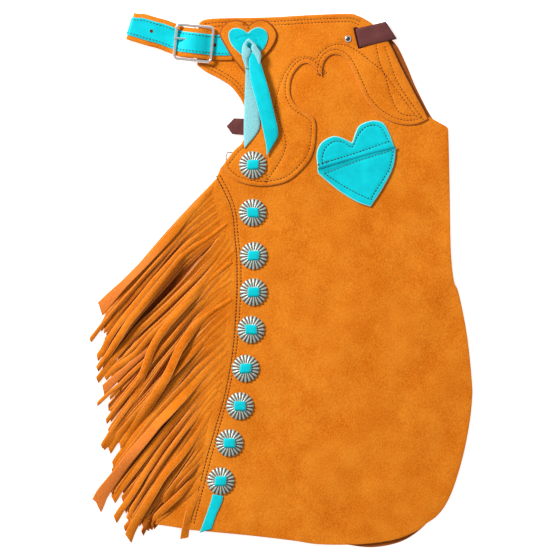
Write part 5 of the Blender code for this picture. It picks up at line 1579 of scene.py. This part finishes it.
filling = []
for first, second in zip(strands[:-4], strands[1:-3]):
    # filler strands between traced ones: the lower the layer, the darker the tone, as painted shade
    for share, layer, tonesAndShades in ((draw.uniform(0.3, 0.5), "low", (0.5, 0.8)),
        (draw.uniform(0.5, 0.7), "floor", (0.28, 0.5)),
                                (draw.choice((0.2, 0.8)), "middle", (0.75, 1.0))):
        filling.append((layer, 0.25, draw.uniform(-18, 8), (4.6, draw.uniform(4.6, 7.0), 4.5),
            draw.uniform(*tonesAndShades),
                        halfway(first[5], second[5], share)))
topFringe, topFlat, topArea = makeFringe("top_fringe_suede", [*filling, *strands], topLegBottom, fringeLook,
    7)
underFringe, underFlat, underArea = makeFringe("under_fringe_suede", [*spare, *underBundle], underLegBottom,
    underLevels, 8)
seamCurve = smoothPath(sideSeam, 4.0, False)
order = np.argsort(seamCurve[:, 1])
bandEdge = [(float(np.interp(y, seamCurve[order, 1], seamCurve[order, 0])) - 0.2,
    float(y)) for y in np.linspace(129.6, -320.6, 90)]
bandRoots = ((-160.3, -313), (-150.7, -301.8), (-136.6, -288.3), (-121.3, -274.2), (-107.2, -257),
    (-102.1, -239),
    (-100.8, -222.4), (-97, -205.8), (-93.1, -186.6), (-89.3, -166.1), (-84.2, -150.7), (-77.8, -132.8),
    (-75.2, -109.8), (-72.6, -90.6), (-71.4, -71.4), (-70.1, -52.2), (-70.1, -33), (-70.1, -13.8),
    (-67.5, 5.4), (-65, 22.1), (-65, 32.3), (-68.8, 46.4), (-75.2, 64.3), (-80.3, 82.2), (-85.4, 97.6),
    (-88, 109.1), (-84.2, 121.9))
band = [(*bandEdge[0], "corner"), *bandEdge[1:-1], (*bandEdge[-1], "corner"),
    *((-141.8, -316.6), (-164.2, -313.5, "corner")), *bandRoots]
bandPiece, _ = cutPiece("top_fringe_band", band, topLegBottom, 1.6, ("suede", "suedeEdge", "inside"), 4.0)
# the under band's upper face, in the dark 'inside' finish: painted shade of the layers above
underBand = [(p[0] + 2.6, p[1] + 1.2, *p[2:]) for p in band]
underBandPiece, _ = cutPiece("under_fringe_band", underBand, underLegBottom, 1.6,
    ("inside", "suedeEdge", "suede"), 8.0)
size, area = cutSize(band)
size = (area / size[1] / 0.8, size[1])  # a curved strip, cut nearly straight
finishPiece(topFringe, ["top_fringe"])
finishPiece(bandPiece, ())
finishPiece(underFringe, ["under_fringe"])
finishPiece(underBandPiece, ())
print("fringe cut to", topFlat, underFlat, "m, areas", round(topArea, 4), round(underArea, 4))
print("fringe done:", len(topFringe.data.polygons), "faces")


# pale floor, soft light from the upper left, camera straight above

def flatMaterial(name, hexCode):
    return newMaterial(name, Base_Color=colour(hexCode), Roughness=0.9, Emission_Color=colour(hexCode),
                       Emission_Strength=0.7)[0]


floorMesh = bpy.data.meshes.new("floor")
reach = 3.0
floorMesh.from_pydata([(-reach, -reach, -0.0004), (reach, -reach, -0.0004), (reach, reach, -0.0004),
    (-reach, reach, -0.0004)],
                      [], [(0, 1, 2, 3)])
floorMesh.materials.append(flatMaterial("white paper floor, lit from below", "#FAFAFA"))
floor = bpy.data.objects.new("floor", floorMesh)
bpy.context.scene.collection.objects.link(floor)

lights = {"key": {"place": (-2.3, 1.9, 2.05), "size": 0.8, "power": 168.0},
          "fill": {"place": (1.8, -0.9, 2.4), "size": 2.2, "power": 6.0}}
for name, light in lights.items():
    lamp = bpy.data.lights.new(name, "AREA")
    lamp.shape = "SQUARE"
    lamp.size = light["size"]
    lamp.energy = light["power"]
    lampObject = bpy.data.objects.new(name, lamp)
    lampObject.location = light["place"]
    lampObject.rotation_euler = (-Vector(light["place"])).to_track_quat("-Z", "Y").to_euler()
    bpy.context.scene.collection.objects.link(lampObject)

world = bpy.data.worlds.new("studio")
world.use_nodes = True
skyTree = world.node_tree
up = addNode(skyTree, "ShaderNodeSeparateXYZ",
    {0: addNode(skyTree, "ShaderNodeTexCoord").outputs["Generated"]}).outputs[2]
bands = addNode(skyTree, "ShaderNodeValToRGB",
    {"Fac": up})  # a dark horizon gives the nickel its dark lines
stops = bands.color_ramp.elements
stops[0].position, stops[0].color = 0.10, (0.03, 0.03, 0.035, 1.0)
stops[1].position, stops[1].color = 0.42, (1.0, 1.0, 1.0, 1.0)
skyTree.links.new(bands.outputs[0], skyTree.nodes["Background"].inputs["Color"])
skyTree.nodes["Background"].inputs["Strength"].default_value = 0.36
bpy.context.scene.world = world
bpy.context.scene.view_settings.view_transform = "Standard"

photo = {"mmPerPixel": 1.28, "pixels": 560, "lens": 200.0, "sensor": 36.0}
cameraData = bpy.data.cameras.new("camera")
cameraData.lens = photo["lens"]
cameraData.sensor_width = photo["sensor"]
cameraData.clip_end = 20.0
camera = bpy.data.objects.new("camera", cameraData)
span = photo["mmPerPixel"] * photo["pixels"] * mm
distance = span * photo["lens"] / photo["sensor"]
middleX = (1.28 * 280 - 359.36 + originShift[0]) * mm
middleY = (357.44 - 1.28 * 280 + originShift[1]) * mm
camera.location = (middleX, middleY, distance + 0.006)
bpy.context.scene.collection.objects.link(camera)
bpy.context.scene.camera = camera
